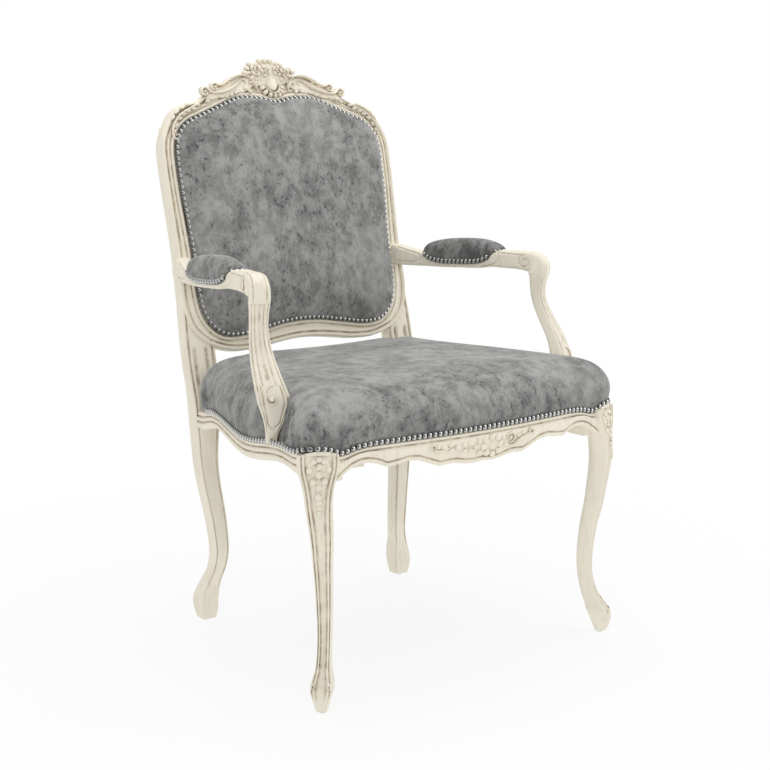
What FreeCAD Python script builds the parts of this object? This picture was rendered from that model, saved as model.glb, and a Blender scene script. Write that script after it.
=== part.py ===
import FreeCAD, Part
import math
import os

# An open-arm chair with a carved wooden frame, a flat upholstered back panel, padded arms and a
# crowned seat. Millimetres. +Z is up, the chair faces -Y, and its own left side is +X.
# Places are given from the line midway between the front and the rear feet. At the end the whole
# chair is moved so that the origin lies on the floor under the middle of its overall depth.

os.makedirs("parts", exist_ok=True)
Vec = FreeCAD.Vector

# Overall sizes. Other places follow from these and from the named distances below.
overall_height = 1030.0
seat_half_width = 322.0
seat_depth = 506.0
seat_back_line = 240.0
rail_deck_height = 432.0
cut_overrun = 60.0
touch_clearance = 0.3
seat_front_line = seat_back_line - seat_depth

# Back frame: a flat frame that leans back by a share of its height
back_half_width = 256.0
back_bottom_rise = 68.0
back_deck_inset = 16.3
back_lean_share = 0.2146
frame_thickness = 30.0
rebate_width = 15.0
rebate_depth = 7.0
moulding_width = 8.5
moulding_drop = 2.5
stile_width = 58.0
stile_overhang = 2.5
stile_top_inset = 11.0
stile_recess = 4.0
crest_boss_radius = 30.0
crest_boss_projection = 9.0
volute_radius = 8.0
back_bottom_height = rail_deck_height + back_bottom_rise
back_rise = overall_height - back_bottom_height
bottom_joint_half_width = back_half_width - stile_width

# Places on the back frame: shares of back_half_width and of back_rise
crest_joint_share = 0.7264
crest_boss_share = 0.9264
volute_shares = ((0.6016, 0.8792), (0.5039, 0.8943))
stile_corner_share = 0.075
stile_merge_share = 0.03
boss_top_share = 0.72
crest_joint_height = back_bottom_height + crest_joint_share * back_rise

# Rear legs
rear_foot_inset = 29.0
rear_foot_setback = 6.0
rear_leg_lap = 8.0
rear_leg_sweep_in = 19.0
rear_leg_sweep_forward = 17.0
rear_leg_width = 57.0
rear_leg_depth = 30.0
rear_leg_corner_share = 0.16
rear_foot_half_spread = back_half_width - rear_foot_inset
rear_foot_line = seat_back_line + rear_foot_setback
rear_leg_top = rail_deck_height + rear_leg_lap

# Front legs
front_foot_inset = 14.0
front_foot_setback = 20.0
knee_drop = 14.0
front_leg_sweep = 30.5
front_knee_width = 62.0
front_knee_depth = 40.0
front_leg_corner_share = 0.2
knee_turn = 24.0
foot_turn = 45.0
leg_post_size = 42.0
leg_post_inset = 39.0
leg_post_setback = 47.0
leg_post_length = 64.0
front_foot_half_spread = seat_half_width - front_foot_inset
front_foot_line = seat_front_line + front_foot_setback
front_knee_top = rail_deck_height - knee_drop
leg_post_half_spread = seat_half_width - leg_post_inset
leg_post_line = seat_front_line + leg_post_setback
leg_post_bottom = rail_deck_height - leg_post_length

# Glides under the feet
glide_radius = 7.0
glide_height = 4.0
glide_chamfer = 1.2

# Seat frame
seat_back_inset = 14.5
rail_thickness = 30.0
rail_projection = 8.0
front_nail_drop = 12.0
side_nail_drop = 27.0
front_rail_height = 54.0
side_rail_height = 31.0
front_rail_inset = 54.0
front_rail_end_inset = 37.0
side_rail_setback = 54.0
side_rail_back_inset = 40.0
rear_rail_height = 57.0
rear_rail_thickness = 25.0
apron_boss_radius = 22.0
apron_boss_drop = 40.0
apron_boss_projection = 6.0
tenon_length = 20.0
tenon_thickness = 9.0
tenon_height = 24.0
tenon_margin = 1.5
corner_block_leg = 108.0
corner_block_height = 34.0
corner_block_drop = 51.0
front_block_share = 1.35
rear_block_share = 0.8
seat_back_half_width = back_half_width - seat_back_inset
front_nail_height = rail_deck_height - front_nail_drop
side_nail_height = rail_deck_height - side_nail_drop
front_rail_half_span = seat_half_width - front_rail_inset
front_rail_end = seat_half_width - front_rail_end_inset
side_rail_front = seat_front_line + side_rail_setback
side_rail_back = seat_back_line - side_rail_back_inset
corner_block_bottom = rail_deck_height - corner_block_drop

# Arms and the posts that carry them
arm_base_rise = 200.0
arm_rise = 52.0
arm_width = 36.0
arm_end_lap = 14.5
arm_end_inset = 16.0
arm_front_inset = 14.0
arm_front_setback = 28.0
arm_corner_share = 0.22
arm_joint_share = 0.06
post_lap = 28.0
post_inset = 19.0
post_setback = 149.0
post_sweep_out = 13.0
post_sweep_back = 48.0
post_width = 53.0
post_depth = 27.0
post_turn = 28.0
post_corner_share = 0.24
post_tenon_out_share = 0.4
post_tenon_length = 14.4
arm_base_height = rail_deck_height + arm_base_rise
arm_half_spread = back_half_width - arm_end_inset
arm_sweep_out = seat_half_width - arm_front_inset - arm_half_spread
post_foot_height = side_nail_height
post_height = arm_base_height + post_lap - post_foot_height
post_half_spread = seat_half_width - post_inset
post_foot_line = seat_front_line + post_setback
arm_front_line = post_foot_line + arm_front_setback

# Seat upholstery
cover_thickness = 2.4
seat_crown_rise = 75.0
seat_draw_in = 125.0
strap_width = 50.0
strap_thickness = 1.5
strap_margin = 14.0
front_strap_pitch = 92.0
side_strap_pitch = 90.0
strap_count = 4
dust_cover_thickness = 1.0
seat_crown_height = rail_deck_height + seat_crown_rise

# Back upholstery
back_crown = 27.0
back_draw_in = 105.0
back_strap_thickness = 1.2
back_strap_pitch = 110.0
outside_cover_thickness = 1.6

# Arm pads
pad_back_inset = 78.0
pad_front_setback = 91.0
pad_width = 46.0
pad_crown = 45.0
pad_floor_share = 0.33
pad_front_line = arm_front_line + pad_front_setback

# Dowels and screws
dowel_radius = 4.0
dowel_length = 40.0
crest_dowel_inset = 18.0
crest_dowel_pitch = 14.0
bottom_dowel_rise = 27.0
bottom_dowel_pitch = 18.0
bottom_dowel_depth = 18.0
screw_radius = 2.2
screw_head_radius = 4.5
screw_head_height = 3.0
block_screw_length = 62.0
arm_screw_length = 60.0
arm_screw_rise = 28.0
arm_dowel_rise = 12.0
post_dowel_length = 24.0
post_dowel_shares = (0.1, 0.97, 0.14)

# Outline of the back frame, from the top of the crest round one side to the middle of the bottom
# rail: (share of back_half_width, share of the height from the bottom rail to the crest).
frame_outline_shares = (
    (0.0, 1.0), (0.098, 0.985), (0.168, 0.958), (0.242, 0.936), (0.371, 0.915), (0.48, 0.896),
    (0.60, 0.868), (0.676, 0.851), (0.805, 0.836), (0.879, 0.813), (0.926, 0.779), (0.961, 0.749),
    (0.992, 0.709), (1.0, 0.623), (0.992, 0.483), (0.984, 0.358), (0.988, 0.24), (0.992, 0.189),
    (0.977, 0.136), (0.94, 0.086), (0.898, 0.062), (0.836, 0.036), (0.758, 0.019), (0.668, 0.006),
    (0.586, 0.0), (0.5, 0.0), (0.406, 0.003), (0.332, 0.008), (0.191, 0.017), (0.078, 0.022),
    (0.0, 0.023))

# The line where the cover is nailed to the back frame. Every second point is the middle of an arc.
panel_outline_shares = (
    (0.0, 0.845), (0.11, 0.858), (0.27, 0.860), (0.45, 0.838), (0.66, 0.800), (0.81, 0.765),
    (0.882, 0.69), (0.886, 0.55), (0.862, 0.38), (0.857, 0.27), (0.846, 0.155), (0.77, 0.088),
    (0.60, 0.0575), (0.41, 0.068), (0.20, 0.083), (0.10, 0.089), (0.0, 0.0905))

# Plan of the seat at its nail line: (share of seat_half_width, share of seat_back_half_width,
# share of seat_depth from the front). Every second point is the middle of an arc.
seat_outline_shares = (
    (0.0, 0.0, 0.0), (0.40, 0.0, 0.012), (0.80, 0.0, 0.040), (0.955, 0.0, 0.055),
    (0.995, 0.0, 0.125), (0.90, 0.10, 0.30), (0.82, 0.18, 0.43), (0.60, 0.40, 0.58),
    (0.28, 0.72, 0.75), (0.06, 0.94, 0.88), (0.0, 1.0, 1.0), (0.0, 0.5, 1.0), (0.0, 0.0, 1.0))

# Underside of the front rail from its middle outwards: (share of the half span, share of height).
front_apron_shares = (
    (0.0, 0.04), (0.075, 0.0), (0.138, 0.02), (0.23, 0.10), (0.33, 0.07), (0.42, 0.22),
    (0.56, 0.39), (0.635, 0.33), (0.70, 0.28), (0.776, 0.39), (0.84, 0.44), (0.895, 0.43),
    (0.95, 0.33), (1.0, 0.11))
front_apron_end_shares = ((1.0, 0.11), (1.1, 0.11), (1.2, 0.11))

# Underside of a side rail from back to front: (share of its length, share of its height).
side_apron_shares = (
    (0.0, -0.06), (0.04, 0.20), (0.11, 0.32), (0.17, 0.30), (0.25, 0.15), (0.35, 0.10),
    (0.44, 0.03), (0.57, 0.0), (0.64, 0.06), (0.72, 0.19), (0.84, 0.35), (0.94, 0.32), (1.0, 0.06))
side_apron_end_shares = ((-0.2, -0.06), (-0.1, -0.06), (0.0, -0.06))

# Front leg sections, foot to knee: shares of height, of front_leg_sweep, of the knee's width and
# depth, and of the turn from the foot's direction to the knee's.
front_leg_shares = (
    (0.0, 0.02, 0.33, 0.72, 0.0), (0.039, 0.02, 0.45, 0.95, 0.0), (0.063, 0.0, 0.54, 1.04, 0.0),
    (0.087, -0.12, 0.59, 1.03, 0.0), (0.111, -0.31, 0.57, 0.93, 0.0),
    (0.135, -0.48, 0.50, 0.84, 0.0), (0.184, -0.75, 0.42, 0.73, 0.0),
    (0.232, -0.91, 0.41, 0.71, 0.0), (0.304, -1.0, 0.45, 0.74, 0.05),
    (0.377, -0.97, 0.50, 0.77, 0.08), (0.473, -0.83, 0.55, 0.80, 0.12),
    (0.570, -0.56, 0.61, 0.88, 0.16), (0.667, -0.39, 0.68, 0.91, 0.22),
    (0.763, -0.30, 0.75, 0.98, 0.32), (0.860, -0.38, 0.91, 0.96, 0.60),
    (0.930, -0.45, 0.99, 0.86, 0.90), (1.0, -0.45, 1.0, 0.80, 1.0))

# Rear leg sections, foot to seat: shares of height, of the sweep in and of the sweep forward, and
# of the width and depth.
rear_leg_shares = (
    (0.0, 0.0, 0.0, 0.56, 1.05), (0.037, 0.0, 0.03, 0.72, 1.27), (0.083, 0.0, 0.10, 0.73, 1.27),
    (0.128, -0.22, 0.0, 0.63, 1.13), (0.174, -0.50, -0.35, 0.53, 0.97),
    (0.22, -0.83, -0.73, 0.49, 0.90), (0.289, -1.0, -1.0, 0.49, 0.90),
    (0.404, -0.84, -0.97, 0.54, 0.93), (0.495, -0.58, -0.77, 0.59, 0.97),
    (0.587, -0.32, -0.45, 0.63, 1.0), (0.679, -0.16, -0.22, 0.68, 1.0),
    (0.771, -0.13, -0.22, 0.77, 1.0), (0.862, -0.11, -0.32, 0.90, 1.01),
    (1.0, -0.08, -0.30, 0.99, 0.98))

# Arm sections, back to front: shares of length, of the sweep out, of the rise to the underside
# and to the top, and of the width.
arm_shares = (
    (0.0, 0.0, 0.0, 0.87, 0.80), (0.094, 0.15, 0.0, 0.68, 0.78), (0.16, 0.28, 0.0, 0.66, 0.80),
    (0.214, 0.34, 0.02, 0.54, 0.84), (0.267, 0.385, 0.05, 0.37, 0.94),
    (0.334, 0.45, 0.08, 0.31, 1.0), (0.495, 0.575, 0.12, 0.35, 1.06),
    (0.628, 0.65, 0.17, 0.42, 1.06), (0.695, 0.71, 0.21, 0.56, 1.0),
    (0.735, 0.73, 0.25, 0.83, 0.94), (0.80, 0.79, 0.27, 0.92, 0.92),
    (0.882, 0.88, 0.21, 0.97, 0.94), (0.936, 0.93, 0.14, 0.98, 0.97),
    (0.976, 0.97, 0.27, 0.93, 0.97), (1.0, 0.99, 0.50, 0.76, 0.88))

# Arm post sections, foot to arm: shares of height, of the sweep out, of the sweep back, and of
# the width and depth.
post_shares = (
    (0.0, 0.77, 0.0, 0.23, 0.50), (0.05, 0.77, 0.0, 0.26, 0.50), (0.118, 0.61, -0.04, 0.42, 0.60),
    (0.176, 0.54, -0.06, 0.62, 0.75), (0.235, 0.50, -0.09, 0.82, 0.86),
    (0.294, 0.62, -0.12, 0.99, 0.96), (0.373, 0.92, -0.07, 0.95, 1.0),
    (0.451, 1.0, 0.12, 0.84, 0.97), (0.529, 0.89, 0.38, 0.75, 0.93),
    (0.608, 0.62, 0.64, 0.66, 0.86), (0.686, 0.37, 0.83, 0.59, 0.78),
    (0.765, 0.14, 0.95, 0.57, 0.75), (0.843, 0.04, 0.99, 0.59, 0.76),
    (0.922, 0.06, 0.97, 0.64, 0.80), (1.0, 0.13, 0.95, 0.68, 0.88))

# How far each pad and cushion draws in as it rises: (share of crown, share of the draw-in).
seat_crown_shares = (
    (0.0, 0.0), (0.35, -0.035), (0.70, 0.02), (0.87, 0.16), (0.96, 0.45), (1.0, 1.0))
back_crown_shares = (
    (0.0, 0.0), (0.42, 0.02), (0.68, 0.11), (0.87, 0.34), (0.96, 0.66), (1.0, 1.0))
pad_shares = (
    (0.0, 0.72, 0.16), (0.06, 0.80, 0.45), (0.15, 0.90, 0.73), (0.33, 1.0, 0.96),
    (0.55, 1.0, 1.0), (0.75, 0.98, 0.90), (0.91, 0.88, 0.62), (1.0, 0.74, 0.18))


# Three points of an outline with less bend than this share of their span count as in line.
straightness = 1e-6
# Four corners whose last is off the plane of the others by less than this share are flat.
flatness = 1e-10
# Curved cushions are made of flats, one for each so many degrees of bend.
chord_turn = 24.0
pad_flats = 8
pad_fullness_share = 0.8
rod_flats = 12


def mirrored(shape):
    return shape.mirror(Vec(0, 0, 0), Vec(1, 0, 0))


def both_sides(shape):
    return [shape, mirrored(shape)]


def whole_outline(half_points):
    """Close a half outline by its mirror image; points on the middle line are kept once."""
    other_half = [(-x, y) for x, y in reversed(half_points) if abs(x) > touch_clearance / 2]
    return list(half_points) + other_half


def shifted(points, distance):
    """Move the points of a closed outline outwards, or inwards where distance is negative."""
    count = len(points)
    area_twice = sum(points[i][0] * points[(i + 1) % count][1]
                     - points[(i + 1) % count][0] * points[i][1] for i in range(count))
    side = 1.0 if area_twice > 0 else -1.0
    moved = []
    for i in range(count):
        before, here, after = points[i - 1], points[i], points[(i + 1) % count]
        along_x = after[0] - before[0]
        along_y = after[1] - before[1]
        length = math.hypot(along_x, along_y)
        moved.append((here[0] + side * distance * along_y / length,
                      here[1] - side * distance * along_x / length))
    return moved


def arcs(points):
    """Arcs through each point, the next and the one after, or lines where these are in line."""
    edges = []
    for start, middle, end in zip(points[0::2], points[1::2], points[2::2]):
        bend = (middle - start).cross(end - middle).Length
        if bend < straightness * (end - start).Length ** 2:
            edges.append(Part.LineSegment(start, end).toShape())
        else:
            edges.append(Part.Arc(start, middle, end).toShape())
    return edges


def arc_loop(points):
    return Part.Wire(arcs(points + [points[0]]))


def plate(wire, direction):
    return Part.Face(wire).extrude(direction)


def box(low, high):
    size = high.sub(low)
    return Part.makeBox(size.x, size.y, size.z, low)


def chamfered_section(centre, across, along, width, depth, corner_share):
    """The corners of a rectangle with cut corners, in the plane of two unit directions."""
    cut = corner_share * min(width, depth)
    half_w, half_d = width / 2, depth / 2
    corners = ((half_w - cut, half_d), (half_w, half_d - cut), (half_w, cut - half_d),
               (half_w - cut, -half_d), (cut - half_w, -half_d), (-half_w, cut - half_d),
               (-half_w, half_d - cut), (cut - half_w, half_d))
    return [centre + across * a + along * b for a, b in corners]


def flat_faces(corners):
    """One face through four corners where they are in a plane, and two triangles elsewhere."""
    a, b, c, d = corners
    square = (b - a).cross(c - a)
    if abs(square.dot(d - a)) < flatness * square.Length * (c - a).Length:
        return [Part.Face(Part.makePolygon([a, b, c, d, a]))]
    return [Part.Face(Part.makePolygon([a, b, c, a])), Part.Face(Part.makePolygon([a, c, d, a]))]


def loft(sections):
    """A closed solid through sections that have as many corners each."""
    faces = [Part.Face(Part.makePolygon(ends + [ends[0]])) for ends in (sections[0], sections[-1])]
    count = len(sections[0])
    for low, high in zip(sections, sections[1:]):
        for i in range(count):
            after = (i + 1) % count
            faces += flat_faces([low[i], low[after], high[after], high[i]])
    shell = Part.makeShell(faces)
    shell.sewShape()
    solid = Part.makeSolid(shell)
    if solid.Volume < 0:
        solid.reverse()
    return solid


def cut_all(shape, tools):
    for tool in tools:
        shape = shape.cut(tool)
    return shape


# The back frame's own plane: x across, height up the front face, depth square to it, backwards
lean_angle = math.atan(back_lean_share)
back_depth_way = Vec(0, math.cos(lean_angle), -math.sin(lean_angle))
back_up_way = Vec(0, math.sin(lean_angle), math.cos(lean_angle))


def on_back(x, z, depth=0.0):
    line = seat_back_line - back_deck_inset + back_lean_share * (z - rail_deck_height)
    return Vec(x, line, z) + back_depth_way * depth


def back_points(shares):
    return [(x * back_half_width, back_bottom_height + z * back_rise) for x, z in shares]


def back_plate(points, depth, thickness, curved=True):
    placed = [on_back(x, z, depth) for x, z in points]
    wire = arc_loop(placed) if curved else Part.makePolygon(placed + [placed[0]])
    return plate(wire, back_depth_way * thickness)


frame_points = whole_outline(back_points(frame_outline_shares))
panel_points = whole_outline(back_points(panel_outline_shares))
opening_points = shifted(panel_points, -rebate_width)


def back_ring():
    """The whole moulded back frame, before it is divided at its joints."""
    ring = back_plate(frame_points, 0, frame_thickness)
    ring = ring.cut(back_plate(opening_points, -cut_overrun, frame_thickness + 2 * cut_overrun))
    ring = ring.cut(back_plate(panel_points, -cut_overrun, cut_overrun + rebate_depth))
    # The outer edge is a lower bead
    bead = back_plate(shifted(frame_points, cut_overrun), -cut_overrun,
                      cut_overrun + moulding_drop, curved=False)
    bead = bead.cut(back_plate(shifted(frame_points, -moulding_width), -2 * cut_overrun,
                               3 * cut_overrun))
    return ring.cut(bead)


def crest_rail(ring):
    piece = ring.common(box(Vec(-2 * back_half_width, 0, crest_joint_height),
                            Vec(2 * back_half_width, 2 * overall_height, 2 * overall_height)))
    for half_spread, height in back_points(volute_shares):
        for side in (1, -1):
            start = on_back(side * half_spread, height, -stile_recess)
            piece = piece.fuse(Part.makeCylinder(volute_radius, frame_thickness, start,
                                                 back_depth_way))
    # The shell-shaped boss that carries the flowers
    height = back_bottom_height + crest_boss_share * back_rise
    boss = Part.makeCone(crest_boss_radius * boss_top_share, crest_boss_radius,
                         crest_boss_projection, on_back(0, height, -crest_boss_projection),
                         back_depth_way)
    return piece.fuse(boss).removeSplitter()


def bottom_rail(ring):
    return ring.common(box(Vec(-bottom_joint_half_width, 0, 0),
                           Vec(bottom_joint_half_width, 2 * overall_height,
                               (overall_height + back_bottom_height) / 2)))


def rear_leg(ring):
    """Leg and stile in one piece, on the chair's left."""
    shoulder = ring.common(box(Vec(bottom_joint_half_width, 0, back_bottom_height / 2),
                               Vec(2 * back_half_width, 2 * overall_height, crest_joint_height)))
    foot = rear_leg_top - stile_recess
    low_corner = back_bottom_height + stile_corner_share * back_rise
    ring_edge = back_bottom_height + stile_merge_share * back_rise
    stile_outer = back_half_width + stile_overhang
    stile = [(bottom_joint_half_width, foot),
             (stile_outer, foot),
             (stile_outer, low_corner),
             (back_half_width - stile_top_inset, 3 * low_corner - 2 * back_bottom_height),
             (bottom_joint_half_width, ring_edge)]
    stile = back_plate(stile, stile_recess, frame_thickness - stile_recess, curved=False)
    sections = []
    for height, inward, forward, width, depth in rear_leg_shares:
        centre = Vec(rear_foot_half_spread + inward * rear_leg_sweep_in,
                     rear_foot_line + forward * rear_leg_sweep_forward,
                     glide_height + height * (rear_leg_top - glide_height))
        sections.append(chamfered_section(centre, Vec(1, 0, 0), Vec(0, 1, 0),
                                          width * rear_leg_width, depth * rear_leg_depth,
                                          rear_leg_corner_share))
    return shoulder.fuse([stile, loft(sections)]).removeSplitter()


def front_leg():
    """A cabriole leg whose S curve lies on the diagonal, with the post that takes the rails."""
    outwards = Vec(1, -1, 0).normalize()
    sections = []
    for height, sweep, width, depth, turn in front_leg_shares:
        angle = math.radians(foot_turn + turn * (knee_turn - foot_turn))
        centre = Vec(front_foot_half_spread, front_foot_line, glide_height
                     + height * (front_knee_top - glide_height)) + outwards * (sweep
                                                                               * front_leg_sweep)
        sections.append(chamfered_section(centre, Vec(math.cos(angle), math.sin(angle), 0),
                                          Vec(math.sin(angle), -math.cos(angle), 0),
                                          width * front_knee_width, depth * front_knee_depth,
                                          front_leg_corner_share))
    half = leg_post_size / 2
    post = box(Vec(leg_post_half_spread - half, leg_post_line - half, leg_post_bottom),
               Vec(leg_post_half_spread + half, leg_post_line + half, rail_deck_height))
    return loft(sections).fuse(post)


def seat_points(grow):
    half = [(front * seat_half_width + back * seat_back_half_width, seat_front_line + y * seat_depth)
            for front, back, y in seat_outline_shares]
    return shifted(whole_outline(half), grow)


def seat_slab(grow, low, high):
    wire = arc_loop([Vec(x, y, low) for x, y in seat_points(grow)])
    return plate(wire, Vec(0, 0, high - low))


def apron_cut(shares, place, sweep):
    """A block whose top is the shaped underside of a rail."""
    points = [place(a, b) for a, b in shares]
    drop = Vec(0, 0, -cut_overrun)
    sides = Part.makePolygon([points[-1], points[-1] + drop, points[0] + drop, points[0]])
    return plate(Part.Wire(arcs(points) + sides.Edges), sweep)


def rail_ring(nail_height):
    """Show wood up to the nail line, and the narrower deck above it that takes the cover."""
    inside = seat_slab(rail_projection - rail_thickness, 0, overall_height)
    show_wood = seat_slab(rail_projection, nail_height - 2 * front_rail_height, nail_height)
    deck = seat_slab(-cover_thickness - touch_clearance, nail_height, rail_deck_height)
    return show_wood.fuse(deck).cut(inside)


def front_rail(legs):
    rail = rail_ring(front_nail_height)
    rail = rail.common(box(Vec(-front_rail_end, seat_front_line - cut_overrun, 0),
                           Vec(front_rail_end, side_rail_front, overall_height)))
    half = list(front_apron_shares)
    whole = [(-x, z) for x, z in reversed(half[1:])] + half

    def place(a, b):
        return Vec(a * front_rail_half_span, seat_front_line - cut_overrun,
                   front_nail_height - (1 - b) * front_rail_height)

    under = apron_cut(whole, place, Vec(0, 3 * cut_overrun, 0))
    ends = apron_cut(front_apron_end_shares, place, Vec(0, 3 * cut_overrun, 0))
    rail = rail.cut(under).cut(ends).cut(mirrored(ends))
    rail = cut_all(rail, legs)
    boss = Part.makeCone(apron_boss_radius * boss_top_share, apron_boss_radius,
                         apron_boss_projection + rail_projection,
                         Vec(0, seat_front_line - rail_projection - apron_boss_projection,
                             rail_deck_height - apron_boss_drop), Vec(0, 1, 0))
    rail = rail.fuse(boss)
    for side in (1, -1):
        shoulder = side * (leg_post_half_spread - leg_post_size / 2)
        rail = rail.fuse(tenon(Vec(shoulder, leg_post_line - leg_post_size / 4, front_tenon_height),
                               Vec(side, 0, 0)))
    return rail


def tenon(shoulder, way):
    """A tenon that stands tenon_length into its mortise and as far back into its own rail."""
    across = Vec(abs(way.y), abs(way.x), 0) * (tenon_thickness / 2)
    low = shoulder - across - Vec(0, 0, tenon_height / 2)
    high = shoulder + across + Vec(0, 0, tenon_height / 2)
    reach = way * tenon_length
    back = way * (-tenon_length / 4)
    corners = [low + back, high + reach, low + reach, high + back]
    return box(Vec(min(c.x for c in corners), min(c.y for c in corners), low.z),
               Vec(max(c.x for c in corners), max(c.y for c in corners), high.z))


front_tenon_height = rail_deck_height - tenon_height
side_tenon_height = side_nail_height - side_rail_height / 4
rear_rail_back = seat_front_line + seat_depth - cover_thickness - touch_clearance
rear_rail_front = rear_rail_back - rear_rail_thickness
side_tenon_back_spread = seat_back_half_width - rail_thickness / 4
side_tenon_front_spread = (leg_post_half_spread + leg_post_size / 2 - tenon_thickness / 2
                           - tenon_margin)


def side_tenons():
    """Where the left side rail enters the front leg's post and the rear leg."""
    front = Vec(side_tenon_front_spread, leg_post_line + leg_post_size / 2, side_tenon_height)
    rear = on_back(side_tenon_back_spread, side_tenon_height, stile_recess)
    return tenon(front, Vec(0, -1, 0)), tenon(rear, Vec(0, 1, 0))


def side_rail(front, rear):
    rail = rail_ring(side_nail_height)
    rail = rail.common(box(Vec(bottom_joint_half_width, side_rail_front, 0),
                           Vec(2 * seat_half_width, rear_foot_line, overall_height)))
    low = side_nail_height - side_rail_height
    length = side_rail_back - side_rail_front

    def place(a, b):
        return Vec(back_half_width / 2, side_rail_back - a * length, low + b * side_rail_height)

    rail = rail.cut(apron_cut(side_apron_shares, place, Vec(seat_half_width, 0, 0)))
    rail = rail.cut(apron_cut(side_apron_end_shares, place, Vec(seat_half_width, 0, 0)))
    rail = rail.cut(front).cut(rear)
    return max(rail.Solids, key=lambda s: s.Volume).fuse(list(side_tenons()))


def rear_rail():
    bottom = rail_deck_height - rear_rail_height
    rail = box(Vec(-bottom_joint_half_width, rear_rail_front, bottom),
               Vec(bottom_joint_half_width, rear_rail_back, rail_deck_height))
    return rail.fuse([rear_tenon(side) for side in (1, -1)])


def rear_tenon(side):
    centre = Vec(side * bottom_joint_half_width, rear_rail_back - tenon_thickness,
                 rail_deck_height - rear_rail_height / 2)
    return tenon(centre, Vec(side, 0, 0))


def corner_block(corner, toward_x, toward_y, neighbours):
    """A glued block across an inner corner of the seat frame."""
    base = Vec(corner.x, corner.y, corner_block_bottom)
    points = [base, base + Vec(toward_x * corner_block_leg, 0, 0),
              base + Vec(0, toward_y * corner_block_leg, 0)]
    block = plate(Part.makePolygon(points + [points[0]]), Vec(0, 0, corner_block_height))
    block = block.common(seat_slab(rail_projection - rail_thickness, 0, overall_height))
    block = cut_all(block, neighbours)
    return max(block.Solids, key=lambda s: s.Volume)


def arm(neighbours):
    sections = []
    length = arm_end_line - arm_front_line
    for along, out, low, top, width in arm_shares:
        bottom = arm_base_height + low * arm_rise
        height = (top - low) * arm_rise
        centre = Vec(arm_half_spread + out * arm_sweep_out, arm_end_line - along * length,
                     bottom + height / 2)
        sections.append(chamfered_section(centre, Vec(1, 0, 0), Vec(0, 0, 1),
                                          width * arm_width, height, arm_corner_share))
    shape = cut_all(loft(sections), neighbours)
    return max(shape.Solids, key=lambda s: s.Volume)


def arm_post(grow):
    angle = math.radians(post_turn)
    across = Vec(math.cos(angle), math.sin(angle), 0)
    along = Vec(math.sin(angle), -math.cos(angle), 0)
    sections = []
    for height, out, back, width, depth in post_shares:
        centre = Vec(post_half_spread + out * post_sweep_out,
                     post_foot_line + back * post_sweep_back,
                     post_foot_height + height * post_height)
        sections.append(chamfered_section(centre, across, along, width * post_width + grow,
                                          depth * post_depth + grow, post_corner_share))
    return loft(sections)


def post_tenon():
    half = tenon_thickness / 2
    centre = Vec(post_half_spread + post_sweep_out * post_tenon_out_share, post_foot_line,
                 post_foot_height)
    return box(centre - Vec(half, half, post_tenon_length),
               centre + Vec(half, half, tenon_thickness))


def drawn_in(points, distance):
    """An outline made smaller about its middle, by the same distance at its sides and ends."""
    middle = (min(p[1] for p in points) + max(p[1] for p in points)) / 2
    half_length = max(p[1] for p in points) - middle
    half_width = max(p[0] for p in points)
    return [(x * (1 - distance / half_width), middle + (y - middle) * (1 - distance / half_length))
            for x, y in points]


def crowned(outline, place, shares, crown, draw_in, skin):
    """A crowned pad: its outline drawn in step by step as it rises. skin shrinks it all over."""
    outline = shifted(outline, -skin)
    base = arc_loop([Vec(a, b, 0) for a, b in outline])
    chords = [chord_count(edge) for edge in base.Edges]
    sections = []
    for rise, inward in shares:
        level = rise * (crown - skin)
        wire = arc_loop([Vec(a, b, 0) for a, b in drawn_in(outline, inward * draw_in)])
        corners = []
        for edge, chord in zip(wire.Edges, chords):
            corners += edge.discretize(Number=chord + 1)[:-1]
        sections.append([place(spot.x, spot.y, level) for spot in corners])
    return loft(sections)


def chord_count(edge):
    """How many flats stand for an arc: one for each chord_turn of its bend."""
    turn = edge.tangentAt(edge.FirstParameter).getAngle(edge.tangentAt(edge.LastParameter))
    return max(1, math.ceil(math.degrees(turn) / chord_turn))


def seat_dome(skin):
    floor = side_nail_height + touch_clearance
    return crowned(seat_points(0), lambda x, y, level: Vec(x, y, floor + level),
                   seat_crown_shares, seat_crown_height - floor, seat_draw_in, skin)


def back_dome(skin, floor_depth):
    return crowned(panel_points, lambda x, z, level: on_back(x, z, floor_depth - level),
                   back_crown_shares, back_crown + floor_depth, back_draw_in, skin)


def pad_body(skin):
    """An arm pad: sections from back to front with flat bottoms and rounded, drawn-in tops."""
    sections = []
    length = pad_back_line - pad_front_line
    for along, width, rise in pad_shares:
        y = pad_back_line - skin - along * (length - 2 * skin)
        arm_along = (arm_end_line - y) / (arm_end_line - arm_front_line)
        spread = arm_half_spread + arm_sweep_out * table_value(arm_shares, 0, 1, arm_along)
        seat = arm_base_height + arm_rise * table_value(arm_shares, 0, 3, arm_along)
        seat += touch_clearance + skin
        half = pad_width * width / 2 - skin
        top = arm_base_height + pad_floor_share * arm_rise + rise * pad_crown - skin
        top = max(top, seat + cover_thickness)
        section = []
        for flat in range(pad_flats + 1):
            angle = math.pi * flat / pad_flats
            section.append(Vec(spread - half * math.cos(angle), y,
                               seat + (top - seat) * math.sin(angle) ** pad_fullness_share))
        sections.append(section)
    return loft(sections)


def table_value(table, key, column, wanted):
    """A column of a table of sections at a place between two of its rows."""
    for before, after in zip(table, table[1:]):
        if wanted <= after[key]:
            part = (wanted - before[key]) / (after[key] - before[key])
            return before[column] + part * (after[column] - before[column])
    return table[-1][column]


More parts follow.
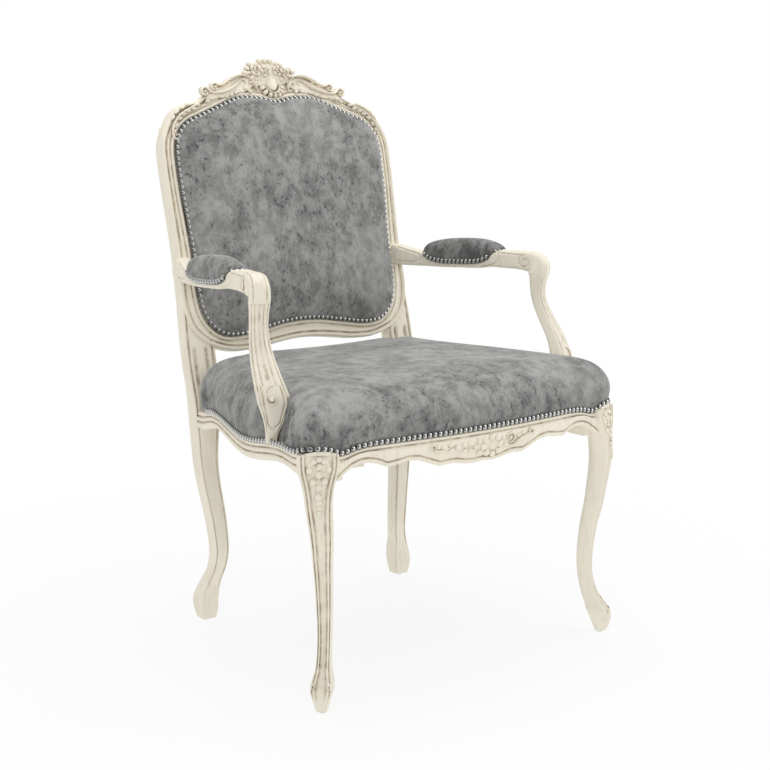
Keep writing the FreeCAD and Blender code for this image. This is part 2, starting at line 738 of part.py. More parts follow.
def round_section(centre, way, radius):
    """The corners of a round section made of flats, square to a direction."""
    upright = abs(way.z) > math.hypot(way.x, way.y)
    across = way.cross(Vec(1, 0, 0) if upright else Vec(0, 0, 1)).normalize()
    along = way.cross(across)
    turns = [2 * math.pi * flat / rod_flats for flat in range(rod_flats)]
    return [centre + (across * math.cos(turn) + along * math.sin(turn)) * radius for turn in turns]


def dowel(centre, way, length):
    return loft([round_section(centre + way * (side * length / 2), way, dowel_radius)
                 for side in (-1, 1)])


def screw(head, way, length):
    return loft([round_section(head, way, screw_head_radius),
                 round_section(head + way * screw_head_height, way, screw_radius),
                 round_section(head + way * length, way, screw_radius)])


def glide(x, y):
    up = Vec(0, 0, 1)
    levels = ((0, glide_radius - glide_chamfer), (glide_chamfer, glide_radius),
              (glide_height, glide_radius))
    return loft([round_section(Vec(x, y, z), up, radius) for z, radius in levels])


# Wooden frame
ring = back_ring()
crest = crest_rail(ring)
bottom = bottom_rail(ring)
left_rear = rear_leg(ring)
left_front = front_leg()
front_tenon_tool, rear_tenon_tool = side_tenons()
front_bar = front_rail([left_front, mirrored(left_front)])
left_side = side_rail(left_front, left_rear)
rear_bar = rear_rail()

# Mortises
left_front = left_front.cut(front_tenon_tool).cut(front_bar)
left_rear = left_rear.cut(rear_tenon_tool).cut(rear_tenon(1))

# Dowels that hold the back frame together
crest_dowels = []
for place in (-0.5, 0.5):
    spot = on_back(back_half_width - crest_dowel_inset + place * crest_dowel_pitch,
                   crest_joint_height, frame_thickness / 2)
    crest_dowels += both_sides(dowel(spot, back_up_way, dowel_length))
rail_dowels = []
for place in (-0.5, 0.5):
    spot = on_back(bottom_joint_half_width, back_bottom_height + bottom_dowel_rise
                   + place * bottom_dowel_pitch, bottom_dowel_depth)
    rail_dowels += both_sides(dowel(spot, Vec(1, 0, 0), dowel_length))
crest = cut_all(crest, crest_dowels)
bottom = cut_all(bottom, rail_dowels)
left_rear = cut_all(left_rear, crest_dowels + rail_dowels)

# Arms and posts
arm_end_line = on_back(0, arm_base_height).y + arm_end_lap
pad_back_line = arm_end_line - pad_back_inset
left_arm = arm([left_rear.fuse(back_plate(opening_points, 0, frame_thickness))])
left_post = arm_post(0).cut(left_arm)
left_post = max(left_post.Solids, key=lambda s: s.Volume)
left_post = left_post.fuse(post_tenon())
left_side = left_side.cut(post_tenon()).cut(arm_post(2 * touch_clearance))
arm_spread_at_stile = arm_half_spread + arm_sweep_out * arm_joint_share
arm_dowel = dowel(on_back(arm_spread_at_stile, arm_base_height + arm_dowel_rise, 0),
                  Vec(0, 1, 0), dowel_length)
arm_screw = screw(on_back(arm_spread_at_stile, arm_base_height + arm_screw_rise,
                          frame_thickness - screw_head_height / 2),
                  Vec(0, -1, 0), arm_screw_length)
dowel_out, dowel_back, dowel_up = post_dowel_shares
post_top = Vec(post_half_spread + dowel_out * post_sweep_out,
               post_foot_line + dowel_back * post_sweep_back,
               arm_base_height + dowel_up * arm_rise)
post_dowel = dowel(post_top, Vec(0, 0, 1), post_dowel_length)
left_rear = left_rear.cut(arm_dowel).cut(arm_screw)
left_arm = left_arm.cut(arm_dowel).cut(arm_screw).cut(post_dowel)
left_post = left_post.cut(post_dowel)

# Corner blocks and their screws
block_front = Vec(seat_half_width, seat_front_line, 0)
left_front_block = corner_block(block_front, -front_block_share, front_block_share,
                                [left_front, front_bar, left_side])
block_rear = Vec(bottom_joint_half_width + rail_thickness, rear_rail_front, 0)
left_rear_block = corner_block(block_rear, -rear_block_share, -rear_block_share,
                               [left_rear, rear_bar, left_side])
screw_height = corner_block_bottom + corner_block_height / 2
front_way = Vec(1, -1, 0).normalize()
front_head = Vec(leg_post_half_spread, leg_post_line, screw_height) - front_way * (
    block_screw_length + leg_post_size / 8)
front_screw = screw(front_head, front_way, block_screw_length)
rear_way = Vec(0, 1, 0)
rear_head = Vec(bottom_joint_half_width - rail_thickness, rear_rail_back, screw_height) - (
    rear_way * (block_screw_length + screw_head_height))
rear_screw = screw(rear_head, rear_way, block_screw_length)
left_front_block = left_front_block.cut(front_screw)
left_front = left_front.cut(front_screw)
left_rear_block = left_rear_block.cut(rear_screw)
rear_bar = rear_bar.cut(rear_screw).cut(mirrored(rear_screw))

# Straps under the seat
straps = []
for layer, pitch in ((0, front_strap_pitch), (1, side_strap_pitch)):
    low = rail_deck_height + layer * strap_thickness
    field = seat_slab(-strap_margin, low, low + strap_thickness)
    for i in range(strap_count):
        offset = (i - (strap_count - 1) / 2) * pitch
        middle = seat_front_line + seat_depth / 2 + offset if layer else offset
        half = strap_width / 2
        if layer:
            run = box(Vec(-seat_half_width, middle - half, 0),
                      Vec(seat_half_width, middle + half, overall_height))
        else:
            run = box(Vec(middle - half, seat_front_line, 0),
                      Vec(middle + half, seat_front_line + seat_depth, overall_height))
        straps.append(field.common(run))

# Seat cushion and its cover, fitted round the rear legs and the arm posts
stile_room = back_plate([(bottom_joint_half_width - 2 * touch_clearance, rear_leg_top / 2),
                         (2 * back_half_width, rear_leg_top / 2),
                         (2 * back_half_width, crest_joint_height),
                         (bottom_joint_half_width - 2 * touch_clearance, crest_joint_height)],
                        -touch_clearance, 2 * cut_overrun, curved=False)
post_room = arm_post(2 * touch_clearance)
rooms = [stile_room, mirrored(stile_room), post_room, mirrored(post_room)]
deck_top = rail_deck_height + 2 * strap_thickness + touch_clearance
front_room = box(Vec(-2 * seat_half_width, seat_front_line - cut_overrun, 0),
                 Vec(2 * seat_half_width, side_rail_front, front_nail_height + touch_clearance))
under_deck = box(Vec(-2 * seat_half_width, seat_front_line - cut_overrun, 0),
                 Vec(2 * seat_half_width, 2 * seat_depth, deck_top))
inner_dome = seat_dome(cover_thickness)
seat_cover = cut_all(seat_dome(0).cut(inner_dome), [front_room] + rooms)
seat_foam = cut_all(seat_dome(cover_thickness + touch_clearance), [under_deck] + rooms)
dust_cover = cut_all(seat_slab(rail_projection - rail_thickness - touch_clearance,
                                  corner_block_bottom - dust_cover_thickness,
                                  corner_block_bottom),
                        [left_front, mirrored(left_front), rear_bar, left_rear,
                         mirrored(left_rear)])
dust_cover = max(dust_cover.Solids, key=lambda s: s.Volume)

# Back panel: straps on the rebate, foam, cover, and the outside back
back_straps = []
strap_field = back_plate(shifted(panel_points, -touch_clearance), rebate_depth
                         - back_strap_thickness, back_strap_thickness)
for i in (-1, 0, 1):
    middle = (overall_height + back_bottom_height) / 2 - back_crown + i * back_strap_pitch
    run = box(Vec(-back_half_width, 0, middle - strap_width / 2),
              Vec(back_half_width, overall_height, middle + strap_width / 2))
    back_straps.append(strap_field.common(run))
panel_floor = rebate_depth - back_strap_thickness - touch_clearance
inner_panel = back_dome(cover_thickness, panel_floor)
back_cover = back_dome(touch_clearance, panel_floor).cut(inner_panel)
back_foam = back_dome(cover_thickness + touch_clearance, panel_floor)
outside_back = back_plate(panel_points, frame_thickness, outside_cover_thickness)

# Arm pads
pad_inside = pad_body(cover_thickness)
left_pad_cover = pad_body(0).cut(pad_inside).cut(left_arm)
left_pad_cover = max(left_pad_cover.Solids, key=lambda s: s.Volume)
left_pad_foam = pad_body(cover_thickness + touch_clearance)

glides = both_sides(glide(front_foot_half_spread, front_foot_line))
glides += both_sides(glide(rear_foot_half_spread, rear_foot_line))

pieces = {
    "crest_rail": crest,
    "back_bottom_rail": bottom,
    "rear_leg_left": left_rear,
    "rear_leg_right": mirrored(left_rear),
    "front_leg_left": left_front,
    "front_leg_right": mirrored(left_front),
    "front_seat_rail": front_bar,
    "side_seat_rail_left": left_side,
    "side_seat_rail_right": mirrored(left_side),
    "rear_seat_rail": rear_bar,
    "arm_left": left_arm,
    "arm_right": mirrored(left_arm),
    "arm_post_left": left_post,
    "arm_post_right": mirrored(left_post),
    "front_corner_blocks": Part.makeCompound(both_sides(left_front_block)),
    "rear_corner_blocks": Part.makeCompound(both_sides(left_rear_block)),
    "corner_block_screws": Part.makeCompound(both_sides(front_screw) + both_sides(rear_screw)),
    "crest_dowels": Part.makeCompound(crest_dowels),
    "back_rail_dowels": Part.makeCompound(rail_dowels),
    "arm_dowels": Part.makeCompound(both_sides(arm_dowel)),
    "arm_screws": Part.makeCompound(both_sides(arm_screw)),
    "arm_post_dowels": Part.makeCompound(both_sides(post_dowel)),
    "seat_straps": Part.makeCompound(straps),
    "seat_foam": seat_foam,
    "seat_cover": seat_cover,
    "dust_cover": dust_cover,
    "back_straps": Part.makeCompound(back_straps),
    "back_foam": back_foam,
    "back_cover": back_cover,
    "outside_back_cover": outside_back,
    "arm_pad_foam_left": left_pad_foam,
    "arm_pad_foam_right": mirrored(left_pad_foam),
    "arm_pad_cover_left": left_pad_cover,
    "arm_pad_cover_right": mirrored(left_pad_cover),
    "foot_glides": Part.makeCompound(glides),
}

limits = Part.makeCompound(list(pieces.values())).BoundBox
to_middle = Vec(0, -(limits.YMin + limits.YMax) / 2, 0)
for name, shape in pieces.items():
    shape.translate(to_middle)
    shape.exportStep(f"parts/{name}.step")
    print(name, len(shape.Solids), shape.isValid(), round(shape.Volume / 1000, 1), "cm3")
print("box", round(limits.XLength, 1), round(limits.YLength, 1), round(limits.ZLength, 1),
      "moved", round(to_middle.y, 2))
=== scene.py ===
import bmesh
import bpy
import functools
import math
import numpy as np
from bpy.props import FloatProperty, FloatVectorProperty, PointerProperty
from mathutils import Matrix, Vector, kdtree


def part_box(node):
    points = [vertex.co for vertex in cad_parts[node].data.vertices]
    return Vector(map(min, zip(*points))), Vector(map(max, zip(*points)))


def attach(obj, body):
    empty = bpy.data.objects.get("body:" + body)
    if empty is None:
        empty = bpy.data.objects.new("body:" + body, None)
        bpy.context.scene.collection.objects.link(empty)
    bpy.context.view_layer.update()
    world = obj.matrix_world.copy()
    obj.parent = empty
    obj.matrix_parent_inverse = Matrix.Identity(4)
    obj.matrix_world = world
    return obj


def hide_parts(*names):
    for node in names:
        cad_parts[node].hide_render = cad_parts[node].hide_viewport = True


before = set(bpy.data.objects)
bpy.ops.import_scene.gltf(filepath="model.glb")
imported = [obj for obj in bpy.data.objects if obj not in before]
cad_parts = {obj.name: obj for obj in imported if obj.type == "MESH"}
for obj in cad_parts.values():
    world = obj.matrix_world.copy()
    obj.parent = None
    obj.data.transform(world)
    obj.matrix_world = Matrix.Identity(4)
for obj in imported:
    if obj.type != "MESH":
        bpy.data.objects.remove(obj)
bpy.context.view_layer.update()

bl_info = {
    "name": "Carved Armchair",
    "version": (1, 0, 0),
    "blender": (4, 5, 0),
    "location": "3D View > Sidebar > Armchair",
    "description": "Dresses the armchair's frame with carving, upholstery, nails and finishes",
    "category": "Object",
}

SIDES = ((1, "left"), (-1, "right"))
# The vertex attribute that says how much glaze is left at a point; on the nail heads it says how
# much painted shade and painted dark reflection they carry.
GLAZE = "glaze"
# Edges that turn by more than this, in radians, stay sharp; soft pieces have none.
CREASE = 1.0
NO_CREASE = 3.0

# Lengths are in metres. The chair faces -Y and its own left is +X. Depths along Y are given from
# the line midway between the front and the rear glides.
GLIDES_LOW, GLIDES_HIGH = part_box("foot_glides")
FEET_MIDDLE = (GLIDES_LOW.y + GLIDES_HIGH.y) / 2


# The back: a flat frame that leans
BACK_HALF_WIDTH = 0.256
BACK_BOTTOM = 0.5
BACK_TOP = 1.03
BACK_FLOOR_LINE = 0.131
BACK_SLOPE = 0.2146
BACK_THICKNESS = 0.03
CREST_JOINT = 0.885
BOTTOM_JOINT_HALF = 0.198
STILE_RECESS = 0.0045
CREST_SETBACK = 0.011
# Heights between which the crest rolls back, the panel's middle, how far its cushion stands out
# of the frame, and the height under which the ring of the frame is bottom rail.
CREST_ROLL = (0.945, 0.99)
BACK_MIDDLE = 0.742
BACK_CROWN = 0.027
BOTTOM_RAIL_LIMIT = 0.65

# Outline of the back frame and the line of its nails, from the top round one side to the middle
# of the bottom: shares of the half width and of the height above the bottom rail.
FRAME_SHARES = (
    (0.0, 0.966), (0.098, 0.961), (0.168, 0.949), (0.242, 0.932), (0.371, 0.912), (0.48, 0.894),
    (0.6, 0.868), (0.676, 0.851), (0.805, 0.836), (0.879, 0.813), (0.926, 0.779), (0.961, 0.749),
    (0.992, 0.709), (1.0, 0.623), (0.992, 0.483), (0.984, 0.358), (0.988, 0.24), (0.992, 0.189),
    (0.977, 0.136), (0.94, 0.086), (0.898, 0.062), (0.836, 0.036), (0.758, 0.019), (0.668, 0.006),
    (0.586, 0.0), (0.5, 0.0), (0.406, 0.003), (0.332, 0.008), (0.191, 0.017), (0.078, 0.022),
    (0.0, 0.023))
PANEL_SHARES = (
    (0.0, 0.845), (0.11, 0.856), (0.2, 0.861), (0.3, 0.86), (0.39, 0.849), (0.51, 0.826),
    (0.66, 0.798), (0.755, 0.78), (0.82, 0.757), (0.862, 0.726), (0.883, 0.69), (0.888, 0.62),
    (0.884, 0.54), (0.87, 0.44), (0.858, 0.34), (0.858, 0.22), (0.843, 0.152), (0.81, 0.112),
    (0.755, 0.082), (0.69, 0.064), (0.6, 0.0575), (0.5, 0.06), (0.4, 0.068), (0.28, 0.077),
    (0.17, 0.086), (0.0, 0.0905))

# Rear legs, foot to stile: height, place across and along, width, depth.
REAR_LEG_STATIONS = (
    (0.004, 0.227, 0.2465, 0.027, 0.028), (0.02, 0.2272, 0.2472, 0.0345, 0.033),
    (0.04, 0.227, 0.2485, 0.037, 0.035), (0.06, 0.2228, 0.246, 0.033, 0.032),
    (0.08, 0.2174, 0.24, 0.0285, 0.028), (0.1, 0.2113, 0.2337, 0.027, 0.0265),
    (0.13, 0.208, 0.2287, 0.028, 0.027), (0.18, 0.211, 0.2297, 0.031, 0.028),
    (0.22, 0.216, 0.233, 0.0335, 0.029), (0.26, 0.221, 0.2385, 0.036, 0.03),
    (0.3, 0.224, 0.2425, 0.039, 0.03), (0.34, 0.2246, 0.243, 0.044, 0.03),
    (0.38, 0.225, 0.242, 0.051, 0.03), (0.42, 0.2256, 0.242, 0.056, 0.029))
STILE_STATIONS = (
    (0.45, 0.227, 0.059), (0.48, 0.2275, 0.0605), (0.51, 0.2272, 0.0605), (0.54, 0.2265, 0.06),
    (0.57, 0.2255, 0.058), (0.6, 0.2245, 0.056))

# Front legs, foot to knee: height, sweep along the diagonal, width, depth, turn in degrees.
FRONT_FOOT = (0.308, -0.246)
FRONT_LEG_STATIONS = (
    (0.004, 0.001, 0.0165, 0.019, 45), (0.01, 0.001, 0.0205, 0.024, 45),
    (0.02, 0.0008, 0.0255, 0.031, 45), (0.03, -0.0004, 0.032, 0.037, 45),
    (0.038, -0.0028, 0.0368, 0.039, 45), (0.046, -0.0068, 0.036, 0.037, 45),
    (0.056, -0.012, 0.0305, 0.033, 45), (0.07, -0.019, 0.0252, 0.0285, 45),
    (0.1, -0.0277, 0.023, 0.0265, 45), (0.13, -0.0305, 0.0236, 0.027, 44),
    (0.16, -0.0297, 0.0254, 0.028, 43.5), (0.2, -0.0253, 0.028, 0.03, 42.5),
    (0.24, -0.0172, 0.0312, 0.033, 41.5), (0.28, -0.012, 0.036, 0.035, 40),
    (0.32, -0.0092, 0.0405, 0.0374, 38), (0.352, -0.0105, 0.0455, 0.0384, 33),
    (0.372, -0.0125, 0.053, 0.036, 29), (0.388, -0.0135, 0.0612, 0.0335, 25.5),
    (0.4, -0.014, 0.064, 0.0318, 24), (0.4212, -0.014, 0.0644, 0.0308, 24))
KNEE_DROP = 0.0065
KNEE_SETBACK = 0.0025
KNEE_SPREAD = 0.0074
POST_SIZE = 0.042
POST_PLACE = (0.283, -0.219)
POST_LOW = 0.368

# Seat: its nail line in plan, as shares of half width and depth from the front, then the height
# of the nails above the floor along it, from the middle of the front round the side to the back.
SEAT_HALF_WIDTH = 0.322
SEAT_DEPTH = 0.506
SEAT_FRONT = -0.266
SEAT_SHARES = (
    (0.0, 0.0), (0.2, 0.003), (0.4, 0.01), (0.6, 0.02), (0.8, 0.034), (0.9, 0.038), (0.965, 0.044),
    (1.002, 0.062), (1.016, 0.095), (1.012, 0.135), (0.995, 0.21), (0.98, 0.29), (0.969, 0.36),
    (0.955, 0.43), (0.93, 0.51), (0.9, 0.58), (0.86, 0.67), (0.82, 0.75), (0.79, 0.82),
    (0.768, 0.88), (0.75, 1.0))
NAIL_HEIGHTS = (
    (0.0, 0.4233), (0.08, 0.4233), (0.14, 0.4238), (0.18, 0.424), (0.205, 0.424), (0.225, 0.4232),
    (0.245, 0.4208), (0.262, 0.4162), (0.275, 0.4145), (0.287, 0.42), (0.3, 0.4242),
    (0.314, 0.4262), (0.328, 0.4252), (0.342, 0.4215), (0.351, 0.4185), (0.36, 0.4172),
    (0.372, 0.4175), (0.395, 0.4181), (0.42, 0.418), (0.441, 0.4163), (0.471, 0.4122),
    (0.497, 0.4082), (0.52, 0.4056), (0.546, 0.4044), (0.585, 0.4052), (0.62, 0.408),
    (0.658, 0.4096), (0.697, 0.4106), (0.732, 0.411), (0.758, 0.408), (0.776, 0.404),
    (0.84, 0.4015), (0.958, 0.4015))
SEAT_CROWN = 0.5085
RAIL_BULGE = 0.008
RAIL_DECK = 0.431
FRONT_RAIL_END = 0.286
SIDE_RAIL_FRONT = -0.222
SIDE_RAIL_BACK = 0.226
SEAT_NAILS_REAR = 0.19

# Underside of the front rail over half its length, and of a side rail from back to front.
FRONT_UNDERSIDE = (
    (0.0, 0.3675), (0.02, 0.366), (0.037, 0.367), (0.056, 0.371), (0.07, 0.3715), (0.089, 0.37),
    (0.108, 0.377), (0.13, 0.385), (0.15, 0.387), (0.17, 0.384), (0.19, 0.382), (0.208, 0.39),
    (0.225, 0.3935), (0.24, 0.393), (0.255, 0.388), (0.272, 0.378), (0.286, 0.368))
SIDE_UNDERSIDE = (
    (0.226, 0.369), (0.205, 0.3695), (0.19, 0.374), (0.174, 0.379), (0.15, 0.384), (0.124, 0.3862),
    (0.084, 0.385), (0.06, 0.3825), (0.04, 0.3795), (0.0, 0.3752), (-0.03, 0.3737),
    (-0.047, 0.3742), (-0.085, 0.3785), (-0.12, 0.3845), (-0.15, 0.3892), (-0.176, 0.39),
    (-0.201, 0.3865), (-0.223, 0.3815))

# Arms: place along and across, height of the middle, pitch in degrees, thickness, width.
ARM_STATIONS = (
    (0.292, 0.2395, 0.654, 0, 0.042, 0.029), (0.27, 0.2435, 0.6525, 0, 0.039, 0.028),
    (0.245, 0.251, 0.65, 0, 0.035, 0.0285), (0.222, 0.2585, 0.6482, 0, 0.0305, 0.03),
    (0.2, 0.2632, 0.647, 0, 0.0265, 0.033), (0.186, 0.266, 0.646, 0, 0.0235, 0.0345),
    (0.168, 0.269, 0.6425, 0, 0.0155, 0.0355), (0.14, 0.273, 0.642, 0, 0.013, 0.0365),
    (0.104, 0.2783, 0.644, 0, 0.0125, 0.037), (0.072, 0.2817, 0.646, 0, 0.0135, 0.037),
    (0.052, 0.284, 0.6485, 0, 0.015, 0.037), (0.036, 0.2862, 0.6525, 0, 0.018, 0.0365),
    (0.022, 0.2877, 0.658, 0, 0.0265, 0.036), (0.008, 0.2895, 0.661, 0, 0.0325, 0.0355),
    (-0.004, 0.2912, 0.6615, 0, 0.0335, 0.035), (-0.022, 0.295, 0.6615, 0, 0.0335, 0.034),
    (-0.04, 0.299, 0.6612, 0, 0.0345, 0.034), (-0.056, 0.3016, 0.66, 8, 0.0375, 0.034),
    (-0.066, 0.303, 0.6565, 30, 0.0415, 0.0345), (-0.0725, 0.3038, 0.65, 58, 0.041, 0.035),
    (-0.0745, 0.304, 0.642, 80, 0.035, 0.035), (-0.0735, 0.304, 0.632, 90, 0.03, 0.0348))
# Posts, top to foot: height, place across and along, width, depth.
POST_STATIONS = (
    (0.645, 0.304, -0.0738, 0.034, 0.03), (0.632, 0.304, -0.0733, 0.0345, 0.0285),
    (0.62, 0.3036, -0.0715, 0.0325, 0.025), (0.6, 0.3048, -0.0715, 0.0308, 0.022),
    (0.58, 0.3078, -0.0767, 0.0322, 0.0222), (0.56, 0.3113, -0.0864, 0.036, 0.0235),
    (0.54, 0.3146, -0.0989, 0.041, 0.025), (0.52, 0.3162, -0.1112, 0.046, 0.0262),
    (0.5, 0.3152, -0.1205, 0.051, 0.0272), (0.49, 0.3136, -0.1238, 0.053, 0.0272),
    (0.479, 0.3115, -0.1235, 0.0525, 0.0265), (0.465, 0.31, -0.1215, 0.044, 0.024),
    (0.45, 0.31, -0.12, 0.0335, 0.0205), (0.437, 0.3113, -0.119, 0.0255, 0.0185),
    (0.427, 0.3125, -0.1178, 0.0205, 0.017), (0.418, 0.313, -0.117, 0.0185, 0.016),
    (0.413, 0.313, -0.117, 0.018, 0.016))
POST_TURN = 28

# Arm pads: place along, height of the nail line, height of the crown, half width. Their nails
# are a little smaller than the others.
PAD_NAIL_SHARE = 0.94
PAD_STATIONS = (
    (0.1985, 0.661, 0.668, 0.0125), (0.1955, 0.659, 0.6735, 0.0165), (0.19, 0.656, 0.6785, 0.0192),
    (0.18, 0.652, 0.683, 0.021), (0.162, 0.649, 0.6875, 0.0222), (0.141, 0.648, 0.691, 0.0228),
    (0.105, 0.6495, 0.694, 0.023), (0.075, 0.6515, 0.6948, 0.023), (0.052, 0.6545, 0.6935, 0.0226),
    (0.037, 0.659, 0.6905, 0.0216), (0.026, 0.6655, 0.6872, 0.0198), (0.019, 0.6725, 0.6835, 0.016))


def at(x, y, z):
    """A point of the chair whose depth is given from the middle of the feet."""
    return Vector((x, y + FEET_MIDDLE, z))


def on_back(x, z, out=0.0):
    """A point of the back's front plane, or one that stands out of it towards the sitter."""
    length = math.hypot(1.0, BACK_SLOPE)
    rolled = CREST_SETBACK * smoothstep(*CREST_ROLL, z)
    return at(x, BACK_FLOOR_LINE + BACK_SLOPE * z + rolled - out / length,
              z + out * BACK_SLOPE / length)


def on_side(place, side):
    """A point of the chair's left, or the same point of its right."""
    return Vector((side * place.x, place.y, place.z))


def mirror_x(rows):
    return np.array(rows, float) * (-1, 1, 1)


def unit(rows):
    return rows / np.linalg.norm(rows, axis=1)[:, None]


def run_along(points):
    """How far along a line of points each of them lies."""
    return np.concatenate(([0.0], np.cumsum(np.linalg.norm(np.diff(points, axis=0), axis=1))))


def sampled(points, run, wanted):
    """Rows of numbers at the wanted distances along a line of them."""
    return np.stack([np.interp(wanted, run, column) for column in points.T], axis=1)


def smooth_line(points, count, closed=False):
    """Evenly spaced rows of numbers on a smooth line through the given rows. The first three
    columns, or all where there are fewer, measure the distance along it."""
    knots = np.asarray(points, float)
    spans = len(knots) if closed else len(knots) - 1
    steps = 16
    fine = []
    for i in range(spans):
        if closed:
            a, b, c, d = (knots[(i + k) % len(knots)] for k in (-1, 0, 1, 2))
        else:
            b, c = knots[i], knots[i + 1]
            a = knots[i - 1] if i else 2 * b - c
            d = knots[i + 2] if i + 2 < len(knots) else 2 * c - b
        first, second, third = (max(np.linalg.norm((q - p)[:3]), 1e-9) ** 0.5
                                for p, q in ((a, b), (b, c), (c, d)))
        out_b = second * ((b - a) / first - (c - a) / (first + second)) + (c - b)
        out_c = second * ((d - c) / third - (d - b) / (second + third)) + (c - b)
        for t in np.arange(steps) / steps:
            fine.append((2 * t**3 - 3 * t**2 + 1) * b + (t**3 - 2 * t**2 + t) * out_b
                        + (3 * t**2 - 2 * t**3) * c + (t**3 - t**2) * out_c)
    fine.append(knots[0] if closed else knots[-1])
    fine = np.array(fine)
    run = run_along(fine[:, :3])
    wanted = np.linspace(0.0, run[-1], count + 1 if closed else count)
    return sampled(fine, run, wanted[:-1] if closed else wanted)


def mirrored_outline(half):
    """A closed outline from its half; points on the middle line are kept once."""
    return list(half) + [(-x, z) for x, z in reversed(half) if x > 0]


def piecewise(table, value):
    """The second column of a table at a value of its first, by straight lines."""
    if table[0][0] > table[-1][0]:
        table = table[::-1]
    return float(np.interp(value, [row[0] for row in table], [row[1] for row in table]))


def smoothstep(low, high, value):
    t = min(max((value - low) / (high - low), 0.0), 1.0)
    return t * t * (3 - 2 * t)


def new_mesh():
    bm = bmesh.new()
    bm.verts.layers.float.new(GLAZE)
    return bm


def skin(bm, rows, glaze=0.0, open_rim=False):
    """A surface through rows of points, each row a closed ring. Both ends are closed, or only the
    last. Glaze is a share for each point, or one row of shares for all the rows."""
    rows = np.asarray(rows, float)
    along, across = rows.shape[:2]
    grid = bmesh.ops.create_grid(bm, x_segments=across, y_segments=along - 1, size=1)["verts"]
    layer = bm.verts.layers.float[GLAZE]
    shades = np.broadcast_to(np.asarray(glaze, float), (along, across))
    for i, vert in enumerate(grid):
        row, column = divmod(i, across + 1)
        vert.co = rows[row, column % across]
        vert[layer] = shades[row, column % across]
    ends = grid[-across - 1:] + ([] if open_rim else grid[:across + 1])
    seam = [grid[r * (across + 1) + c] for r in range(along) for c in (0, across)]
    bmesh.ops.remove_doubles(bm, verts=seam, dist=1e-7)
    rims = dict.fromkeys(edge for vert in ends if vert.is_valid for edge in vert.link_edges
                         if edge.is_boundary)
    bmesh.ops.holes_fill(bm, edges=list(rims), sides=0)


def finish_piece(bm, name, slot, replaces=(), crease=NO_CREASE):
    """Turn a bmesh into a piece of the chair, in the finish of its slot."""
    bmesh.ops.recalc_face_normals(bm, faces=bm.faces)
    for face in bm.faces:
        face.smooth = True
    for edge in bm.edges:
        if len(edge.link_faces) == 2 and edge.calc_face_angle() > crease:
            edge.smooth = False
    mesh = bpy.data.meshes.new(name)
    bm.to_mesh(mesh)
    bm.free()
    mesh.materials.append(finish(slot))
    piece = bpy.data.objects.new(name, mesh)
    bpy.context.scene.collection.objects.link(piece)
    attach(piece, "root")
    if replaces:
        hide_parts(*replaces)
    return piece


def wooden_piece(bm, name, node_name):
    finish_piece(bm, name, "painted_wood", [node_name], CREASE)


def padded_piece(rows, name, node_names):
    bm = new_mesh()
    skin(bm, rows)
    piece = finish_piece(bm, name, "velvet", node_names)


def engrave(bm, paths, depth, width):
    """Sink lines into a dense surface near the given paths and mark them for the glaze."""
    bm.normal_update()
    layer = bm.verts.layers.float[GLAZE]
    spots = [spot for path in paths for spot in path]
    tree = kdtree.KDTree(len(spots))
    for i, spot in enumerate(spots):
        tree.insert(spot, i)
    tree.balance()
    for vert in list(bm.verts):
        distance = tree.find(vert.co)[2]
        if distance < 2.5 * width:
            strength = math.exp(-(distance / width) ** 2)
            vert.co -= vert.normal * depth * strength
            vert[layer] = max(vert[layer], min(1.0, 1.2 * strength))


class Socket:
    """A shader socket that can be used in sums."""

    def __init__(self, tree, link):
        self.tree = tree
        self.link = link

    def math(self, operation, first, second):
        return node(self.tree, "ShaderNodeMath", {"operation": operation}, {0: first, 1: second})

    def __add__(self, other):
        return self.math("ADD", self, other)

    def __mul__(self, other):
        return self.math("MULTIPLY", self, other)

    def __sub__(self, other):
        return self.math("SUBTRACT", self, other)

    def __rsub__(self, other):
        return self.math("SUBTRACT", other, self)

    def or_more(self, other):
        return self.math("MAXIMUM", self, other)

    def between(self, low, high):
        """0 at low, 1 at high and smooth between; low may be the larger number."""
        return node(self.tree, "ShaderNodeMapRange", {"interpolation_type": "SMOOTHSTEP"},
                    {"Value": self, "From Min": low, "From Max": high})

    __radd__ = __add__
    __rmul__ = __mul__


def plug(tree, socket, value):
    """Link a socket or set it; a colour is given its alpha."""
    if isinstance(value, Socket):
        tree.links.new(value.link, socket)
    elif isinstance(value, tuple) and len(value) == 3 and len(socket.default_value) == 4:
        socket.default_value = (*value, 1.0)
    else:
        socket.default_value = value


def node(tree, kind, settings=None, inputs=None, output=0):
    """Add a node, set it up, feed its inputs and return one of its outputs."""
    made = tree.nodes.new(kind)
    for key, value in (settings or {}).items():
        setattr(made, key, value)
    for key, value in (inputs or {}).items():
        plug(tree, made.inputs[key], value)
    return Socket(tree, made.outputs[output])


def mix_colour(share, first, second):
    return node(share.tree, "ShaderNodeMix", {"data_type": "RGBA"},
                {0: share, 6: first, 7: second}, output=2)


def mix_shader(share, first, second):
    return node(share.tree, "ShaderNodeMixShader", {}, {0: share, 1: first, 2: second})


def noise(place, scale, detail=2.0, roughness=0.5, distortion=0.0):
    """Noise at a place; three scales stretch it."""
    if isinstance(scale, tuple):
        place = node(place.tree, "ShaderNodeMapping", {}, {"Vector": place, "Scale": scale})
        scale = 1.0
    return node(place.tree, "ShaderNodeTexNoise", {}, {
        "Vector": place, "Scale": scale, "Detail": detail, "Roughness": roughness,
        "Distortion": distortion})


def hollows(place, distance):
    """How hidden a point is by its own piece within a distance."""
    return 1.0 - node(place.tree, "ShaderNodeAmbientOcclusion", {"samples": 8, "only_local": True},
                      {"Distance": distance}, output=1)


def glaze_share(place):
    return node(place.tree, "ShaderNodeAttribute", {"attribute_name": GLAZE}, output=2)


def bump(height, distance, strength=1.0):
    return node(height.tree, "ShaderNodeBump", {}, {"Height": height, "Distance": distance,
                                                    "Strength": strength})


def tinted(colour, share):
    return tuple(min(1.0, share * c) for c in colour)


